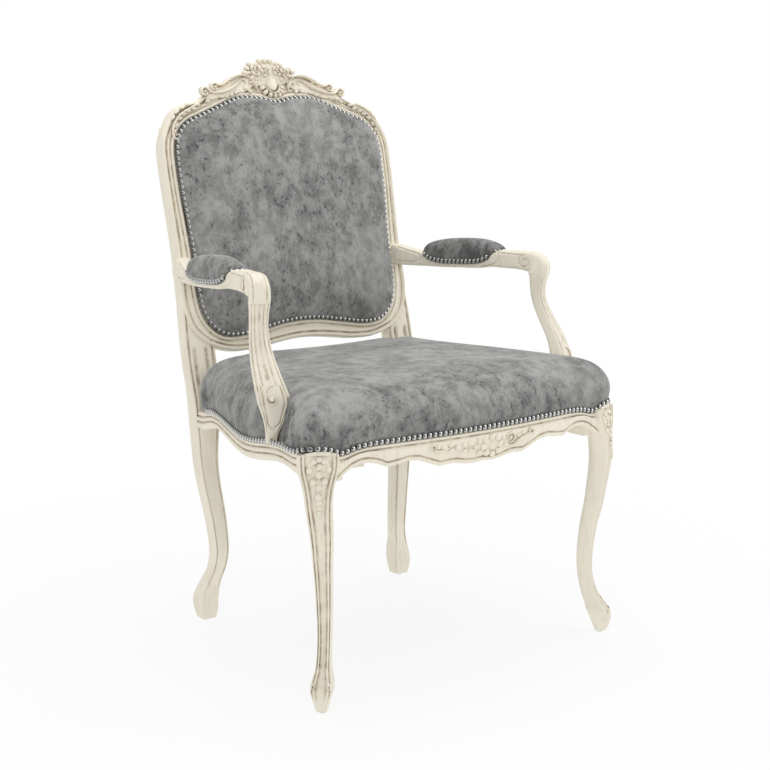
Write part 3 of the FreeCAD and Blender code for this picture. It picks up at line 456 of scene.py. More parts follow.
# The frame brings plain materials of its own, so these are told apart by name.
MATERIAL_PREFIX = "armchair_"


def new_material(name):
    """A material with a plain Principled shader: itself, its shader and object coordinates."""
    material = bpy.data.materials.new(MATERIAL_PREFIX + name)
    material.use_nodes = True
    tree = material.node_tree
    return (material, tree.nodes["Principled BSDF"],
            node(tree, "ShaderNodeTexCoord", output=3))


def feed(shader, **values):
    """Set or link the shader's sockets, named with underscores."""
    for key, value in values.items():
        plug(shader.id_data, shader.inputs[key.replace("_", " ")], value)


def painted_wood(colours):
    """Cream paint, with brown glaze left in the hollows and painted shade over them, and small worn
    specks.
    """
    material, shader, place = new_material("painted_wood")
    cream, glaze = tuple(colours.paint), tuple(colours.glaze)
    tan = tuple(0.45 * c + 0.75 * g for c, g in zip(cream, glaze))
    cloud = noise(place, 9.0, 4.0, 0.6)
    colour = mix_colour(cloud.between(0.35, 0.75), cream, tinted(cream, 0.94))
    streaks = noise(place, (150.0, 150.0, 13.0), 4.0, 0.6)
    colour = mix_colour(streaks.between(0.5, 0.74) * 0.34, colour, tan)
    # The glaze is a soft tan in wide hollows and darker in engraved lines and narrow gaps; as these
    # hollows are found by occlusion, the tan and dark there are also painted shade
    rubbed = noise(place, 55.0, 3.0, 0.6)
    # painted shade: wide hollows, found by occlusion, are painted tan, along with the glaze that
    # lies there
    wide_glaze_and_painted_shade = hollows(place, 0.016).between(0.15, 0.85)
    wide_glaze_and_painted_shade = wide_glaze_and_painted_shade * (rubbed.between(0.25, 0.65) * 0.28 + 0.28)
    colour = mix_colour(wide_glaze_and_painted_shade, colour, tan)
    line = glaze_share(place).between(0.2, 1.0) * (rubbed.between(0.4, 0.64) * 0.46 + 0.15)
    # painted shade: narrow gaps and the places where carving meets its ground, found by occlusion,
    # are painted in the glaze colour
    gap_glaze_and_painted_shade = hollows(place, 0.0045).between(0.22, 0.8)
    gap_glaze_and_painted_shade = gap_glaze_and_painted_shade * (rubbed.between(0.35, 0.62) * 0.4 + 0.25)
    colour = mix_colour(line.or_more(gap_glaze_and_painted_shade), colour, glaze)
    specks = noise(place, 420.0, 1.0).between(0.72, 0.79)
    worn = specks * noise(place, 25.0).between(0.45, 0.7) * 0.6
    colour = mix_colour(worn, colour, tinted(glaze, 0.6))
    brush = noise(place, (500.0, 500.0, 60.0))
    feed(shader, Base_Color=colour, Roughness=0.42 + 0.2 * cloud,
         Normal=bump(brush, 0.00035, 0.35), Specular_IOR_Level=0.35)
    return material


# Heights over which painted shade darkens the seat cushion towards its lower edge, and the heights
# and places across of the painted shade on the far arm's pad.
SEAT_EDGE = (0.485, 0.42)
PAD_FOOT, PAD_HEAD, PAD_INNER = (0.6, 0.64), (0.72, 0.66), (0.2, 0.24)


def velvet(colours):
    """Grey crushed velvet: the nap lies in patches, each with its own sheen; painted shade darkens
    the seat's lower edge and the far arm's pad.
    """
    material, shader, place = new_material("crushed_velvet")
    patches = noise(place, (42.0, 42.0, 32.0), 7.0, 0.72, 0.15)
    broad = noise(place, 10.0, 4.0, 0.6, 0.2)
    flecks = noise(place, (150.0, 150.0, 110.0), 4.0, 0.62, 0.5)
    brushed = noise(place, (560.0, 560.0, 130.0), 3.0, 0.6)
    pile = noise(place, 1400.0, 2.0, 0.6)
    tone = patches.between(0.38, 0.62) * 0.44 + broad.between(0.4, 0.6) * 0.26
    tone = tone + brushed.between(0.3, 0.7) * 0.18 + 0.18
    tone = tone - flecks.between(0.55, 0.66) * (broad.between(0.62, 0.42) * 0.42 + 0.1)
    # Painted shade: the seat darkens towards its lower edge, and the far arm's pad darkens, most
    # low down
    across, high = (node(place.tree, "ShaderNodeSeparateXYZ", {}, {0: place}, output=axis)
                    for axis in (0, 2))
    # painted shade towards the seat's lower edge
    tone = tone - high.between(*SEAT_EDGE) * 0.2
    # painted shade on the far arm's pad
    far_pad_painted_shade = high.between(*PAD_FOOT) * across.between(*PAD_INNER) * high.between(*PAD_HEAD)
    tone = (tone - far_pad_painted_shade * 0.5) * (0.92 + 0.16 * pile)
    colour = mix_colour(tone, tuple(colours.velvet_dark), tuple(colours.velvet_light))
    height = patches * 0.8 + flecks * 0.35 + pile * 0.06
    feed(shader, Base_Color=colour, Roughness=0.95 - 0.25 * tone,
         Normal=bump(height, 0.0026, 0.6), Specular_IOR_Level=0.15,
         Sheen_Weight=0.45, Sheen_Roughness=0.32, Sheen_Tint=(0.93, 0.93, 0.915))
    return material


def nail_metal(colours):
    """Bright metal domes with painted shade where they meet the cloth and a painted dark reflection
    on one side.
    """
    material, shader, place = new_material("nail")
    fleck = noise(place, 700.0)
    # the attribute gives each head its painted shade at the rim and its painted dark reflection on
    # one side
    shade = mix_colour(glaze_share(place), tuple(colours.nail), (0.045, 0.042, 0.04))
    feed(shader, Base_Color=shade, Roughness=0.22 + 0.1 * fleck, Metallic=1.0,
         Normal=bump(fleck, 0.00004))
    return material


# Plain finishes: colour, roughness, scale and depth of the grain, metallic.
PLAIN_FINISHES = {
    "bare_wood": ((0.5, 0.33, 0.18), 0.6, (220.0, 220.0, 20.0), 0.0003, 0.0),
    "webbing": ((0.2, 0.13, 0.06), 0.85, (900.0, 900.0, 900.0), 0.0004, 0.0),
    "lining": ((0.012, 0.012, 0.012), 0.9, (1500.0, 1500.0, 1500.0), 0.0002, 0.0),
    "steel": ((0.55, 0.55, 0.56), 0.35, (300.0, 300.0, 300.0), 0.0001, 1.0),
    "glide": ((0.8, 0.8, 0.78), 0.45, (400.0, 400.0, 400.0), 0.0001, 0.0),
}
GRAIN_SPREAD = 0.12


def plain_finish(name):
    """A finish with a fine grain: its colour and roughness vary a little with it."""
    colour, roughness, grain, grain_depth, metallic = PLAIN_FINISHES[name]
    material, shader, place = new_material(name)
    fleck = noise(place, grain, 4.0, 0.6)
    shade = mix_colour(fleck, tinted(colour, 1 - GRAIN_SPREAD), tinted(colour, 1 + GRAIN_SPREAD))
    feed(shader, Base_Color=shade, Roughness=roughness - 0.08 + 0.16 * fleck,
         Normal=bump(fleck, grain_depth), Metallic=metallic)
    return material


# The name and the maker of each finish that has colours of its own to choose.
CHOSEN_FINISHES = {
    "painted_wood": ("painted_wood", painted_wood),
    "velvet": ("crushed_velvet", velvet),
    "nail": ("nail", nail_metal),
}


def finish(slot):
    """The finish of a slot, made once."""
    name, make = CHOSEN_FINISHES.get(slot, (slot, lambda colours: plain_finish(slot)))
    ready = bpy.data.materials.get(MATERIAL_PREFIX + name)
    return ready or make(bpy.context.scene.armchair_colours)


# The back frame

def outline(shares, count):
    """A closed outline on the back's front plane, from the top round by the chair's left."""
    rise = BACK_TOP - BACK_BOTTOM
    half = [(x * BACK_HALF_WIDTH, BACK_BOTTOM + z * rise) for x, z in shares]
    return smooth_line(mirrored_outline(half), count, closed=True)


def outward(line, hand=1, rounds=5):
    """Unit normals of a closed outline, evened out over the corners; hand is 1 for an outline that
    runs clockwise and -1 for one that runs the other way."""
    ahead = np.roll(line, -1, axis=0) - np.roll(line, 1, axis=0)
    normals = unit(np.stack([-hand * ahead[:, 1], hand * ahead[:, 0]], axis=1))
    for _ in range(rounds):
        normals = unit(np.roll(normals, 1, axis=0) + 2 * normals + np.roll(normals, -1, axis=0))
    return normals


# Sections of the back frame: distance from the nail line, depth behind the front plane and
# glaze; then the hollow between, then distances from the outer edge, then the back.
INNER_MOULDING = (
    (-0.008, 0.007, 0.0), (0.0024, 0.007, 0.9), (0.0033, 0.0046, 0.5), (0.0046, 0.0018, 0.0),
    (0.0062, 0.0004, 0.0), (0.0084, 0.0004, 0.0), (0.01, 0.0014, 0.2), (0.011, 0.0044, 1.0),
    (0.0128, 0.0044, 1.0), (0.014, 0.002, 0.3))
OUTER_MOULDING = (
    (0.0116, 0.001, 0.1), (0.0104, 0.0046, 1.0), (0.0084, 0.0052, 1.0), (0.0073, 0.0024, 0.3),
    (0.006, 0.0006, 0.0), (0.0038, -0.0006, 0.0), (0.0016, 0.0005, 0.0), (0.0003, 0.003, 0.0),
    (0.0, 0.006, 0.0), (0.0, 0.014, 0.0), (0.0003, 0.024, 0.0), (0.0025, 0.029, 0.0),
    (0.006, 0.03, 0.0))
RING_BACK = ((-0.006, 0.03, 0.0), (-0.008, 0.027, 0.0), (-0.008, 0.016, 0.0))

# How far the directions across the frame may lean to its middle, per metre from the middle.
MOST_LEAN = 7.0
# The hollow between the mouldings: shares of the way across, and its greatest depth.
HOLLOW_SHARES = (0.12, 0.3, 0.5, 0.7, 0.88)
HOLLOW_DEPTH = 0.0035


@functools.cache
def frame_rows(count=1000):
    """Sections of the moulded back frame all round, and their glaze."""
    inner = outline(PANEL_SHARES, count)
    outer = outline(FRAME_SHARES, 1500)
    normals = outward(inner)
    # Above a dip in the middle the directions lean towards each other, and may not cross
    lean = inner[:, 0] * normals[:, 0] < 0
    most = MOST_LEAN * np.abs(inner[:, 0])
    normals[lean, 0] = np.clip(normals[lean, 0], -most[lean], most[lean])
    normals = unit(normals)
    reach = []
    for spot, way in zip(inner, normals):
        toward = outer - spot
        along = toward @ way
        across = toward @ np.array([way[1], -way[0]])
        crossing = (across * np.roll(across, -1) <= 0) & (along > 0)
        reach.append(along[crossing].min())
    reach = np.array(reach)
    for _ in range(3):
        reach = (np.roll(reach, 1) + 2 * reach + np.roll(reach, -1)) / 4
    rows, shades = [], []
    for spot, way, wide in zip(inner, normals, reach):
        section = list(INNER_MOULDING)
        start, end = INNER_MOULDING[-1][0], wide - OUTER_MOULDING[0][0]
        hollow = min(HOLLOW_DEPTH, 0.16 * (end - start))
        for share in HOLLOW_SHARES:
            section.append((start + share * (end - start),
                            0.0012 + hollow * math.sin(math.pi * share), 0.0))
        section += [(wide - s, depth, shade) for s, depth, shade in OUTER_MOULDING]
        section += list(RING_BACK)
        rows.append([on_back(*(spot + way * s), -depth) for s, depth, _ in section])
        shades.append([shade for _, _, shade in section])
    return inner, np.array(rows), np.array(shades)


def stretch_of_frame(bm, wanted):
    """Skin the one unbroken run of the back frame's sections that is wanted."""
    line, rows, shades = frame_rows()
    count = len(line)
    kept = [wanted(x, z) for x, z in line]
    start = next(i for i in range(count) if kept[i] and not kept[i - 1])
    run = [start]
    while kept[run[-1]]:
        run.append((run[-1] + 1) % count)
    skin(bm, rows[run], shades[run])


def in_bottom_rail(x, z):
    return abs(x) < BOTTOM_JOINT_HALF and z < BOTTOM_RAIL_LIMIT


# Rounded section of the rear leg: shares across and to the front, glaze, and share of a flute.
STILE_TEMPLATE = (
    (-1.0, 0.55, 0, 0), (-0.985, 0.85, 0, 0), (-0.94, 0.98, 0, 0), (-0.89, 1.0, 0, 0),
    (-0.86, 0.97, 0.4, 0.4), (-0.83, 0.93, 1.0, 1.0), (-0.75, 0.93, 1.0, 1.0),
    (-0.72, 0.97, 0.4, 0.4), (-0.66, 1.0, 0, 0), (-0.52, 1.0, 0, 0.05), (-0.45, 1.0, 0.9, 0.8),
    (-0.37, 1.0, 1, 1.0), (-0.29, 1.0, 0.9, 0.8), (-0.22, 1.0, 0, 0.05), (0.0, 1.0, 0, 0),
    (0.26, 1.0, 0, 0.05), (0.33, 1.0, 0.9, 0.8), (0.41, 1.0, 1, 1.0), (0.49, 1.0, 0.9, 0.8),
    (0.56, 1.0, 0, 0.05), (0.66, 1.0, 0, 0), (0.72, 0.97, 0.4, 0.4), (0.75, 0.93, 1.0, 1.0),
    (0.83, 0.93, 1.0, 1.0), (0.86, 0.97, 0.4, 0.4), (0.89, 1.0, 0, 0), (0.94, 0.98, 0, 0),
    (0.985, 0.85, 0, 0), (1.0, 0.55, 0, 0), (1.0, 0.0, 0, 0), (1.0, -0.6, 0, 0),
    (0.97, -0.88, 0, 0), (0.88, -1.0, 0, 0), (0.4, -1.0, 0, 0), (-0.4, -1.0, 0, 0),
    (-0.88, -1.0, 0, 0), (-0.97, -0.88, 0, 0), (-1.0, -0.6, 0, 0), (-1.0, 0.0, 0, 0))
# Heights between which the stile shows its stopped flutes, and how deep they and the lines along
# the leg's edges are.
FLUTE_RANGE = (0.438, 0.449, 0.505, 0.516)
FLUTE_DEPTH = 0.005
EDGE_LINE_DEPTH = 0.0028


def rear_leg_rows():
    """Sections of the left rear leg with the foot of its stile, and their glaze."""
    stations = [(x, y, z, w, d) for z, x, y, w, d in REAR_LEG_STATIONS]
    depth = BACK_THICKNESS - STILE_RECESS
    for z, x, width in STILE_STATIONS:
        middle = on_back(x, z, -(STILE_RECESS + depth / 2))
        stations.append((x, middle.y - FEET_MIDDLE, z, width, depth))
    rows, shades = [], []
    for x, y, z, width, depth in smooth_line(stations, 230):
        flute = smoothstep(*FLUTE_RANGE[:2], z) * (1 - smoothstep(*FLUTE_RANGE[2:], z))
        lines = smoothstep(0.03, 0.09, z) * (0.55 + 0.45 * smoothstep(0.3, 0.4, z))
        row, shade = [], []
        for a, b, glaze, share in STILE_TEMPLATE:
            fluted = abs(a) < 0.6
            deep = share * (flute * FLUTE_DEPTH if fluted else lines * EDGE_LINE_DEPTH)
            if not fluted and b > 0 and share:
                b = 1.0 - (1.0 - b) * lines
            row.append(at(x + a * width / 2, y - b * depth / 2 + (deep if b > 0 else 0), z))
            shade.append(glaze * (flute if fluted else lines))
        rows.append(row)
        shades.append(shade)
    return rows, shades


# Carving: every element is shaped flat, as places across, up and out of the surface that
# carries it, and then laid on that surface.

STROKE_SHADES = (1.0, 0.35, 0.0, 0.0, 0.0, 0.35, 1.0, 1.0, 1.0)
STROKE_STEP = 0.0022


def stroke(bm, lay, path, half_width, height, tail=0.25, head=0.25, sink=0.0015):
    """A rounded ridge along a path on the surface, thinner towards its ends."""
    path = np.asarray(path, float)
    steps = max(8, int(run_along(path)[-1] / STROKE_STEP))
    line = smooth_line(path, steps)
    ahead = unit(np.gradient(line, axis=0))
    rows = []
    for i, ((u, v), (du, dv)) in enumerate(zip(line, ahead)):
        t = i / (steps - 1)
        swell = min(1.0, tail + (1 - tail) * smoothstep(0, 0.3, t),
                    head + (1 - head) * smoothstep(0, 0.3, 1 - t))
        wide = half_width * swell
        tall = height * (0.35 + 0.65 * swell)
        row = [lay(u - dv * wide * math.cos(a), v + du * wide * math.cos(a),
                   tall * math.sin(a) ** 0.8) for a in np.linspace(0, math.pi, 7)]
        row += [lay(u + dv * wide, v - du * wide, -sink), lay(u - dv * wide, v + du * wide, -sink)]
        rows.append(row)
    skin(bm, rows, STROKE_SHADES)


def spiral(centre, start, radius, turns, hand=-1):
    """A path that runs inwards from start degrees; hand is 1 anticlockwise and -1 clockwise."""
    steps = max(8, int(10 * turns))
    path = []
    for i in range(steps + 1):
        t = i / steps
        angle = math.radians(start) + hand * turns * 2 * math.pi * t
        reach = radius * (1 - 0.8 * t)
        path.append((centre[0] + reach * math.cos(angle), centre[1] + reach * math.sin(angle)))
    return path


def lump(bm, lay, centre, size, turn=0.0, height=0.0, lift=0.0, shade=0.0, fine=10):
    """A rounded lump with half sizes (along, across, out), turned in degrees; lift tips its far
    end up."""
    made = bmesh.ops.create_uvsphere(bm, u_segments=fine, v_segments=max(5, fine // 2 + 1),
                                     radius=1.0)["verts"]
    layer = bm.verts.layers.float[GLAZE]
    c, s = math.cos(math.radians(turn)), math.sin(math.radians(turn))
    for vert in made:
        a, b, h = vert.co
        u = a * size[0] * c - b * size[1] * s
        v = a * size[0] * s + b * size[1] * c
        vert[layer] = max(shade, smoothstep(0.36, -0.02, h))
        vert.co = lay(centre[0] + u, centre[1] + v, height + h * size[2] + lift * a)


def arc(centre, wide, tall, angles):
    """Points of an ellipse at angles in radians."""
    return [(centre[0] + wide * math.cos(a), centre[1] + tall * math.sin(a)) for a in angles]


def flower(bm, lay, centre, radius, height, turn):
    """A carved rose: five cupped petals, a closed inner ring and a bead."""
    petals = [turn + 2 * math.pi * k / 5 for k in range(5)]
    for angle, spot in zip(petals, arc(centre, radius * 0.56, radius * 0.56, petals)):
        lump(bm, lay, spot, (radius * 0.4, radius * 0.47, height * 0.42), math.degrees(angle),
             height * 0.24, lift=height * 0.16)
    ring = arc(centre, radius * 0.33, radius * 0.33, np.linspace(turn, turn + 5.6, 9))
    stroke(bm, lay, ring, radius * 0.13, height * 0.95, tail=0.7, head=0.7)
    lump(bm, lay, centre, (radius * 0.17, radius * 0.17, height * 0.32), 0, height * 0.62)


def beads(bm, lay, table, height, out=0.0):
    """Rounded lobes from a table in millimetres: place, half sizes and turn in degrees."""
    for u, v, length, wide, turn in table:
        lump(bm, lay, (u / 1000, v / 1000), (length / 1000, wide / 1000, height), turn, out,
             fine=14)


# Half of the crest: the grounds between its scrolls, as place, half sizes and turn.
CREST_GROUNDS = (((0.07, 0.98), (0.034, 0.014, 0.004), -12),
                 ((0.1, 0.9725), (0.03, 0.0125, 0.004), -24),
                 ((0.13, 0.964), (0.026, 0.009, 0.004), -20))
# Its two scrolls: path, the curl at its end (centre, start, radius, turns), half width, height.
CREST_SCROLLS = (
    (((0.04, 0.978), (0.045, 0.99), (0.054, 0.9965), (0.066, 0.9975), (0.08, 0.995),
      (0.095, 0.989), (0.11, 0.9805), (0.121, 0.979)),
     ((0.129, 0.9745), 100, 0.0072, 1.3), 0.0025, 0.0105),
    (((0.062, 0.979), (0.058, 0.985), (0.063, 0.989), (0.071, 0.9865), (0.086, 0.977),
      (0.104, 0.969), (0.122, 0.965), (0.138, 0.9655), (0.147, 0.9715)),
     ((0.1525, 0.966), 110, 0.0078, 1.35), 0.0027, 0.011))
CREST_HOOK = ((0.034, 0.97), (0.038, 0.98), (0.046, 0.9855), (0.052, 0.98))
SHOULDER_STEM = ((0.148, 0.959), (0.16, 0.952), (0.178, 0.942), (0.198, 0.933),
                 (0.214, 0.923), (0.226, 0.908), (0.2305, 0.893))
# The roses above the rail: place, radius, height, turn in radians.
CREST_ROSES = (((-0.033, 1.008), 0.0135, 0.015, 0.2), ((-0.012, 1.005), 0.0118, 0.0165, 0.7),
               ((0.015, 1.0065), 0.0108, 0.015, 0.1), ((0.0325, 1.003), 0.01, 0.0135, 0.4))
# Lobes, for beads.
CREST_LOBES = (
    (84, 966, 6.0, 3.4, -25), (95, 962, 5.5, 3.2, -20), (106, 958.5, 5.0, 2.8, -12),
    (62, 974, 5.5, 3.6, 40), (52, 968, 4.5, 3.2, 60), (96, 986, 5.5, 2.6, -30),
    (107, 979, 5.0, 2.4, -32), (140, 955, 6.0, 3.0, -28), (150, 950, 5.5, 2.8, -30))
SHOULDER_LOBES = (
    (172, 944, 6.5, 3.6, 10), (181, 937, 6.5, 3.6, 0), (193, 933, 6.5, 3.6, -8),
    (203, 927, 6.5, 3.4, -15), (212, 919, 6.0, 3.2, -25), (191, 944, 7.0, 3.0, -15),
    (204, 938.5, 6.0, 2.8, -25), (217, 931, 6.5, 3.0, -38), (226, 921, 6.0, 2.8, -50),
    (221, 907, 6.0, 3.0, -60), (226, 896, 5.0, 2.6, -70))
BOUQUET_LOBES = (
    (-54, 1002, 6.5, 4.5, 160), (-49, 1010, 6.0, 4.5, 140), (-42, 1017, 6.0, 4.5, 125),
    (-20, 1024, 6.0, 5.0, 100), (-8, 1025, 5.5, 5.0, 85), (4, 1024, 5.5, 5.0, 80),
    (16, 1020, 5.5, 4.5, 70), (26, 1017, 5.5, 4.5, 60), (44, 1010, 6.0, 4.5, 40),
    (53, 1005, 6.0, 4.2, 25), (-48, 1002, 6.5, 4.0, 190), (-42, 994, 7.5, 4.0, 215),
    (-30, 991, 6.5, 4.0, 200), (-20, 990, 5.5, 4.0, 190), (24, 991, 7.0, 4.5, -50),
    (33, 993, 6.0, 4.0, -20), (44, 997, 6.0, 4.0, 0))
SHELL_LOBES = (
    (-22, 975, 6.5, 4.0, 200), (-18, 967, 6.5, 4.0, 225), (-9, 962.5, 6.0, 4.0, 255),
    (1, 961.5, 6.0, 4.0, 272), (11, 963, 6.0, 4.0, 290), (18, 968, 6.5, 4.0, 315),
    (22, 976, 6.5, 4.0, 340))


def carve_crest(bm):
    for side, _ in SIDES:
        lay = lambda u, v, h: on_back(side * u, v, h)
        for centre, size, turn in CREST_GROUNDS:
            lump(bm, lay, centre, size, turn, -0.0005, shade=0.3, fine=20)
        for path, curl, half_width, height in CREST_SCROLLS:
            # The curled end lies on a raised disc
            centre, _, reach, _ = curl
            lump(bm, lay, centre, (reach * 0.92, reach * 0.92, 0.0062), shade=0.7, fine=20)
            lump(bm, lay, centre, (reach * 0.3, reach * 0.3, 0.0045), 0, 0.006, fine=12)
            stroke(bm, lay, [*path, *spiral(*curl)], half_width, height, head=0.65)
        stroke(bm, lay, CREST_HOOK, 0.0022, 0.009)
        beads(bm, lay, CREST_LOBES, 0.0062)
        # The spray that runs down the shoulder to a small curl
        stroke(bm, lay, [*SHOULDER_STEM, *spiral((0.2235, 0.888), 20, 0.0066, 1.1)],
               0.0018, 0.0062, head=0.7)
        beads(bm, lay, SHOULDER_LOBES, 0.0052)
    # The smooth oval in the middle, with a ruffled shell below it
    lump(bm, on_back, (0.0, 0.982), (0.012, 0.0125, 0.008), 0.0, 0.0015, fine=24)
    below = np.radians(np.linspace(12, -192, 13))
    stroke(bm, on_back, arc((0.0, 0.98), 0.016, 0.015, below), 0.0016, 0.009)
    beads(bm, on_back, SHELL_LOBES, 0.0078)
    # The bunch of flowers that stands above the rail
    lump(bm, on_back, (-0.004, 1.0), (0.052, 0.024, 0.006), 0.0, -0.001, shade=0.45, fine=24)
    beads(bm, on_back, BOUQUET_LOBES, 0.0075)
    for rose in CREST_ROSES:
        flower(bm, on_back, *rose)


APRON_LOBES = (
    (15, 390.5, 6.4, 6.4, 0), (2, 402.0, 6.0, 5.6, 0), (16, 404.5, 6.0, 5.6, 0),
    (29, 402.5, 6.0, 5.6, 0), (-3, 391.0, 6.2, 6.0, 0), (33.5, 391.5, 6.2, 6.0, 0),
    (4, 380.5, 6.2, 5.6, 0), (17, 377.5, 6.2, 5.6, 0), (29, 381.0, 6.2, 5.6, 0),
    (-12, 402.5, 5.0, 4.4, 20), (42, 401.0, 5.0, 4.4, -20), (-13, 383.5, 5.2, 3.6, 30),
    (-19, 393.5, 6.4, 4.4, 25), (-30, 399.5, 6.6, 4.4, 10), (-29, 389.0, 6.6, 3.8, -10),
    (-42, 398.5, 6.6, 4.6, 0), (-42, 389.5, 6.0, 3.4, 5), (-55, 395.5, 8.0, 5.6, 15),
    (-69, 392.0, 6.2, 3.6, 10), (-71, 400.0, 6.2, 3.8, 10), (-83, 397.0, 7.4, 4.6, 0),
    (-96, 399.5, 5.6, 4.4, 10), (57, 399.5, 4.6, 4.6, 0), (47, 389.0, 6.0, 4.0, -20),
    (76, 399.0, 6.2, 3.6, 30), (87, 401.5, 5.4, 3.4, 10), (74, 388.5, 6.4, 3.2, 10))


def apron_face(u, v, h):
    """Places on the front rail's face: across it, up it and out of it. The carving climbs a
    little away from its flower."""
    return rail_face(u, v + 0.0035 * smoothstep(0.03, 0.09, abs(u - 0.015)), h)


def carve_apron(bm):
    beads(bm, apron_face, APRON_LOBES, 0.0052, -0.0004)
    almost_round = np.radians(np.linspace(-110, 190, 17))
    stroke(bm, apron_face, arc((0.0575, 0.399), 0.009, 0.0078, almost_round), 0.0018, 0.005,
           tail=0.6, head=0.6)
    stroke(bm, apron_face, [(0.052, 0.388), (0.064, 0.3865), (0.078, 0.393), (0.092, 0.395),
                            (0.101, 0.399), *spiral((0.106, 0.4), 180, 0.0056, 1.25)],
           0.0019, 0.0052, head=0.7)
    stroke(bm, apron_face, [(-0.06, 0.399), (-0.074, 0.396), (-0.09, 0.3925),
                            (-0.102, 0.395), *spiral((-0.1065, 0.4), -60, 0.0054, 1.2, 1)],
           0.0018, 0.005, head=0.7)


# The seat's rails

PLAN_COUNT = 1201
PLAN_CENTRE = PLAN_COUNT // 2


def seat_line():
    """The nail line of the seat in plan, from the chair's right stile round by the front to the
    left one."""
    half = [(x * SEAT_HALF_WIDTH, SEAT_FRONT + y * SEAT_DEPTH) for x, y in SEAT_SHARES]
    whole = [(-x, y) for x, y in reversed(half[1:])] + half
    return smooth_line(whole, PLAN_COUNT)


PLAN = seat_line()
PLAN_AHEAD = unit(np.gradient(PLAN, axis=0))
PLAN_OUT = np.stack([PLAN_AHEAD[:, 1], -PLAN_AHEAD[:, 0]], axis=1)
PLAN_RUN = run_along(PLAN)
PLAN_MIDDLE = PLAN_RUN[-1] / 2
# How deep carving is set into the front rail's face and into the front of a leg.
RAIL_CARVING_SINK = 0.0006
LEG_CARVING_SINK = 0.0026


def nail_height(distance):
    return piecewise(NAIL_HEIGHTS, abs(distance))


def plan_at(distance):
    """Place, outward way and nail height at a distance along the seat's nail line, measured from
    the middle of the front."""
    run = [PLAN_MIDDLE + distance]
    return (sampled(PLAN, PLAN_RUN, run)[0], unit(sampled(PLAN_OUT, PLAN_RUN, run))[0],
            nail_height(distance))


def rail_face(x, z, out):
    """A point on the front rail's face at a place across and a height."""
    front = range(PLAN_COUNT // 3, 2 * PLAN_COUNT // 3 + 1)
    index = front[int(np.argmin(np.abs(PLAN[front, 0] - x)))]
    spot = PLAN[index] + PLAN_OUT[index] * (RAIL_BULGE + out - RAIL_CARVING_SINK)
    return at(*spot, z)


# Rail sections: distance out of the nail line, share of the height from the underside to the
# nails, distance up from that share, glaze.
FRONT_RAIL_SECTION = (
    (-0.022, 1.0, 0.01, 0), (-0.003, 1.0, 0.01, 0), (-0.0015, 1.0, -0.003, 1.0),
    (0.001, 1.0, -0.0046, 1.0), (0.0036, 1.0, -0.0056, 0.2), (0.005, 1.0, -0.0076, 0),
    (0.0047, 1.0, -0.0096, 0.2), (0.0026, 1.0, -0.0108, 1.0), (0.003, 1.0, -0.0124, 1.0),
    (0.0062, 1.0, -0.0136, 0.2), (0.0076, 1.0, -0.0162, 0), (0.0082, 0.5, 0.004, 0),
    (0.008, 0.5, -0.003, 0), (0.0074, 0.0, 0.0125, 0), (0.0068, 0.0, 0.01, 0.3),
    (0.0042, 0.0, 0.009, 1.0), (0.0044, 0.0, 0.0074, 1.0), (0.007, 0.0, 0.0062, 0.2),
    (0.0076, 0.0, 0.0044, 0), (0.0066, 0.0, 0.0022, 0), (0.0044, 0.0, 0.0006, 0),
    (0.0015, 0.0, 0.0, 0), (-0.01, 0.0, 0.0, 0), (-0.02, 0.0, 0.0006, 0), (-0.022, 0.0, 0.003, 0))
SIDE_RAIL_SECTION = (
    (-0.022, 1.0, -0.001, 0), (-0.003, 1.0, -0.001, 0), (-0.0015, 1.0, -0.003, 1.0),
    (0.0008, 1.0, -0.0046, 1.0), (0.003, 0.86, 0.0022, 0.2), (0.0046, 0.8, 0, 0),
    (0.0046, 0.735, 0, 0.1), (0.0022, 0.7, 0, 1.0), (0.0026, 0.655, 0, 1.0), (0.0058, 0.62, 0, 0.2),
    (0.007, 0.55, 0, 0), (0.007, 0.49, 0, 0), (0.006, 0.445, 0, 0.2), (0.0032, 0.41, 0, 1.0),
    (0.0036, 0.365, 0, 1.0), (0.0068, 0.335, 0, 0.2), (0.008, 0.27, 0, 0), (0.008, 0.2, 0, 0),
    (0.0072, 0.13, 0, 0), (0.0052, 0.05, 0, 0), (0.0028, 0.0, 0.0003, 0), (-0.01, 0.0, 0.0, 0),
    (-0.02, 0.0, 0.0006, 0), (-0.022, 0.0, 0.003, 0))


def rail_rows(low_at, section, distances):
    """Sections of a rail at distances along the nail line, and their glaze."""
    rows = []
    for distance in distances:
        spot, out, top = plan_at(distance)
        low = low_at(*spot)
        rows.append([at(*(spot + out * reach), max(low + share * (top - low) + rise, low))
                     for reach, share, rise, _ in section])
    return rows, [glaze for _, _, _, glaze in section]


def distance_where(column, value, side=1):
    """Distance along the nail line, from the front's middle, where a plan coordinate is met."""
    half = range(PLAN_CENTRE + 1, PLAN_COUNT) if side > 0 else range(PLAN_CENTRE, -1, -1)
    if column == 0:
        # Further back, the narrowing seat meets the same place across again
        half = [i for i in half if PLAN[i, 1] < SIDE_RAIL_FRONT]
    index = min(half, key=lambda i: abs(PLAN[i, column] - value))
    return PLAN_RUN[index] - PLAN_MIDDLE


# Front legs

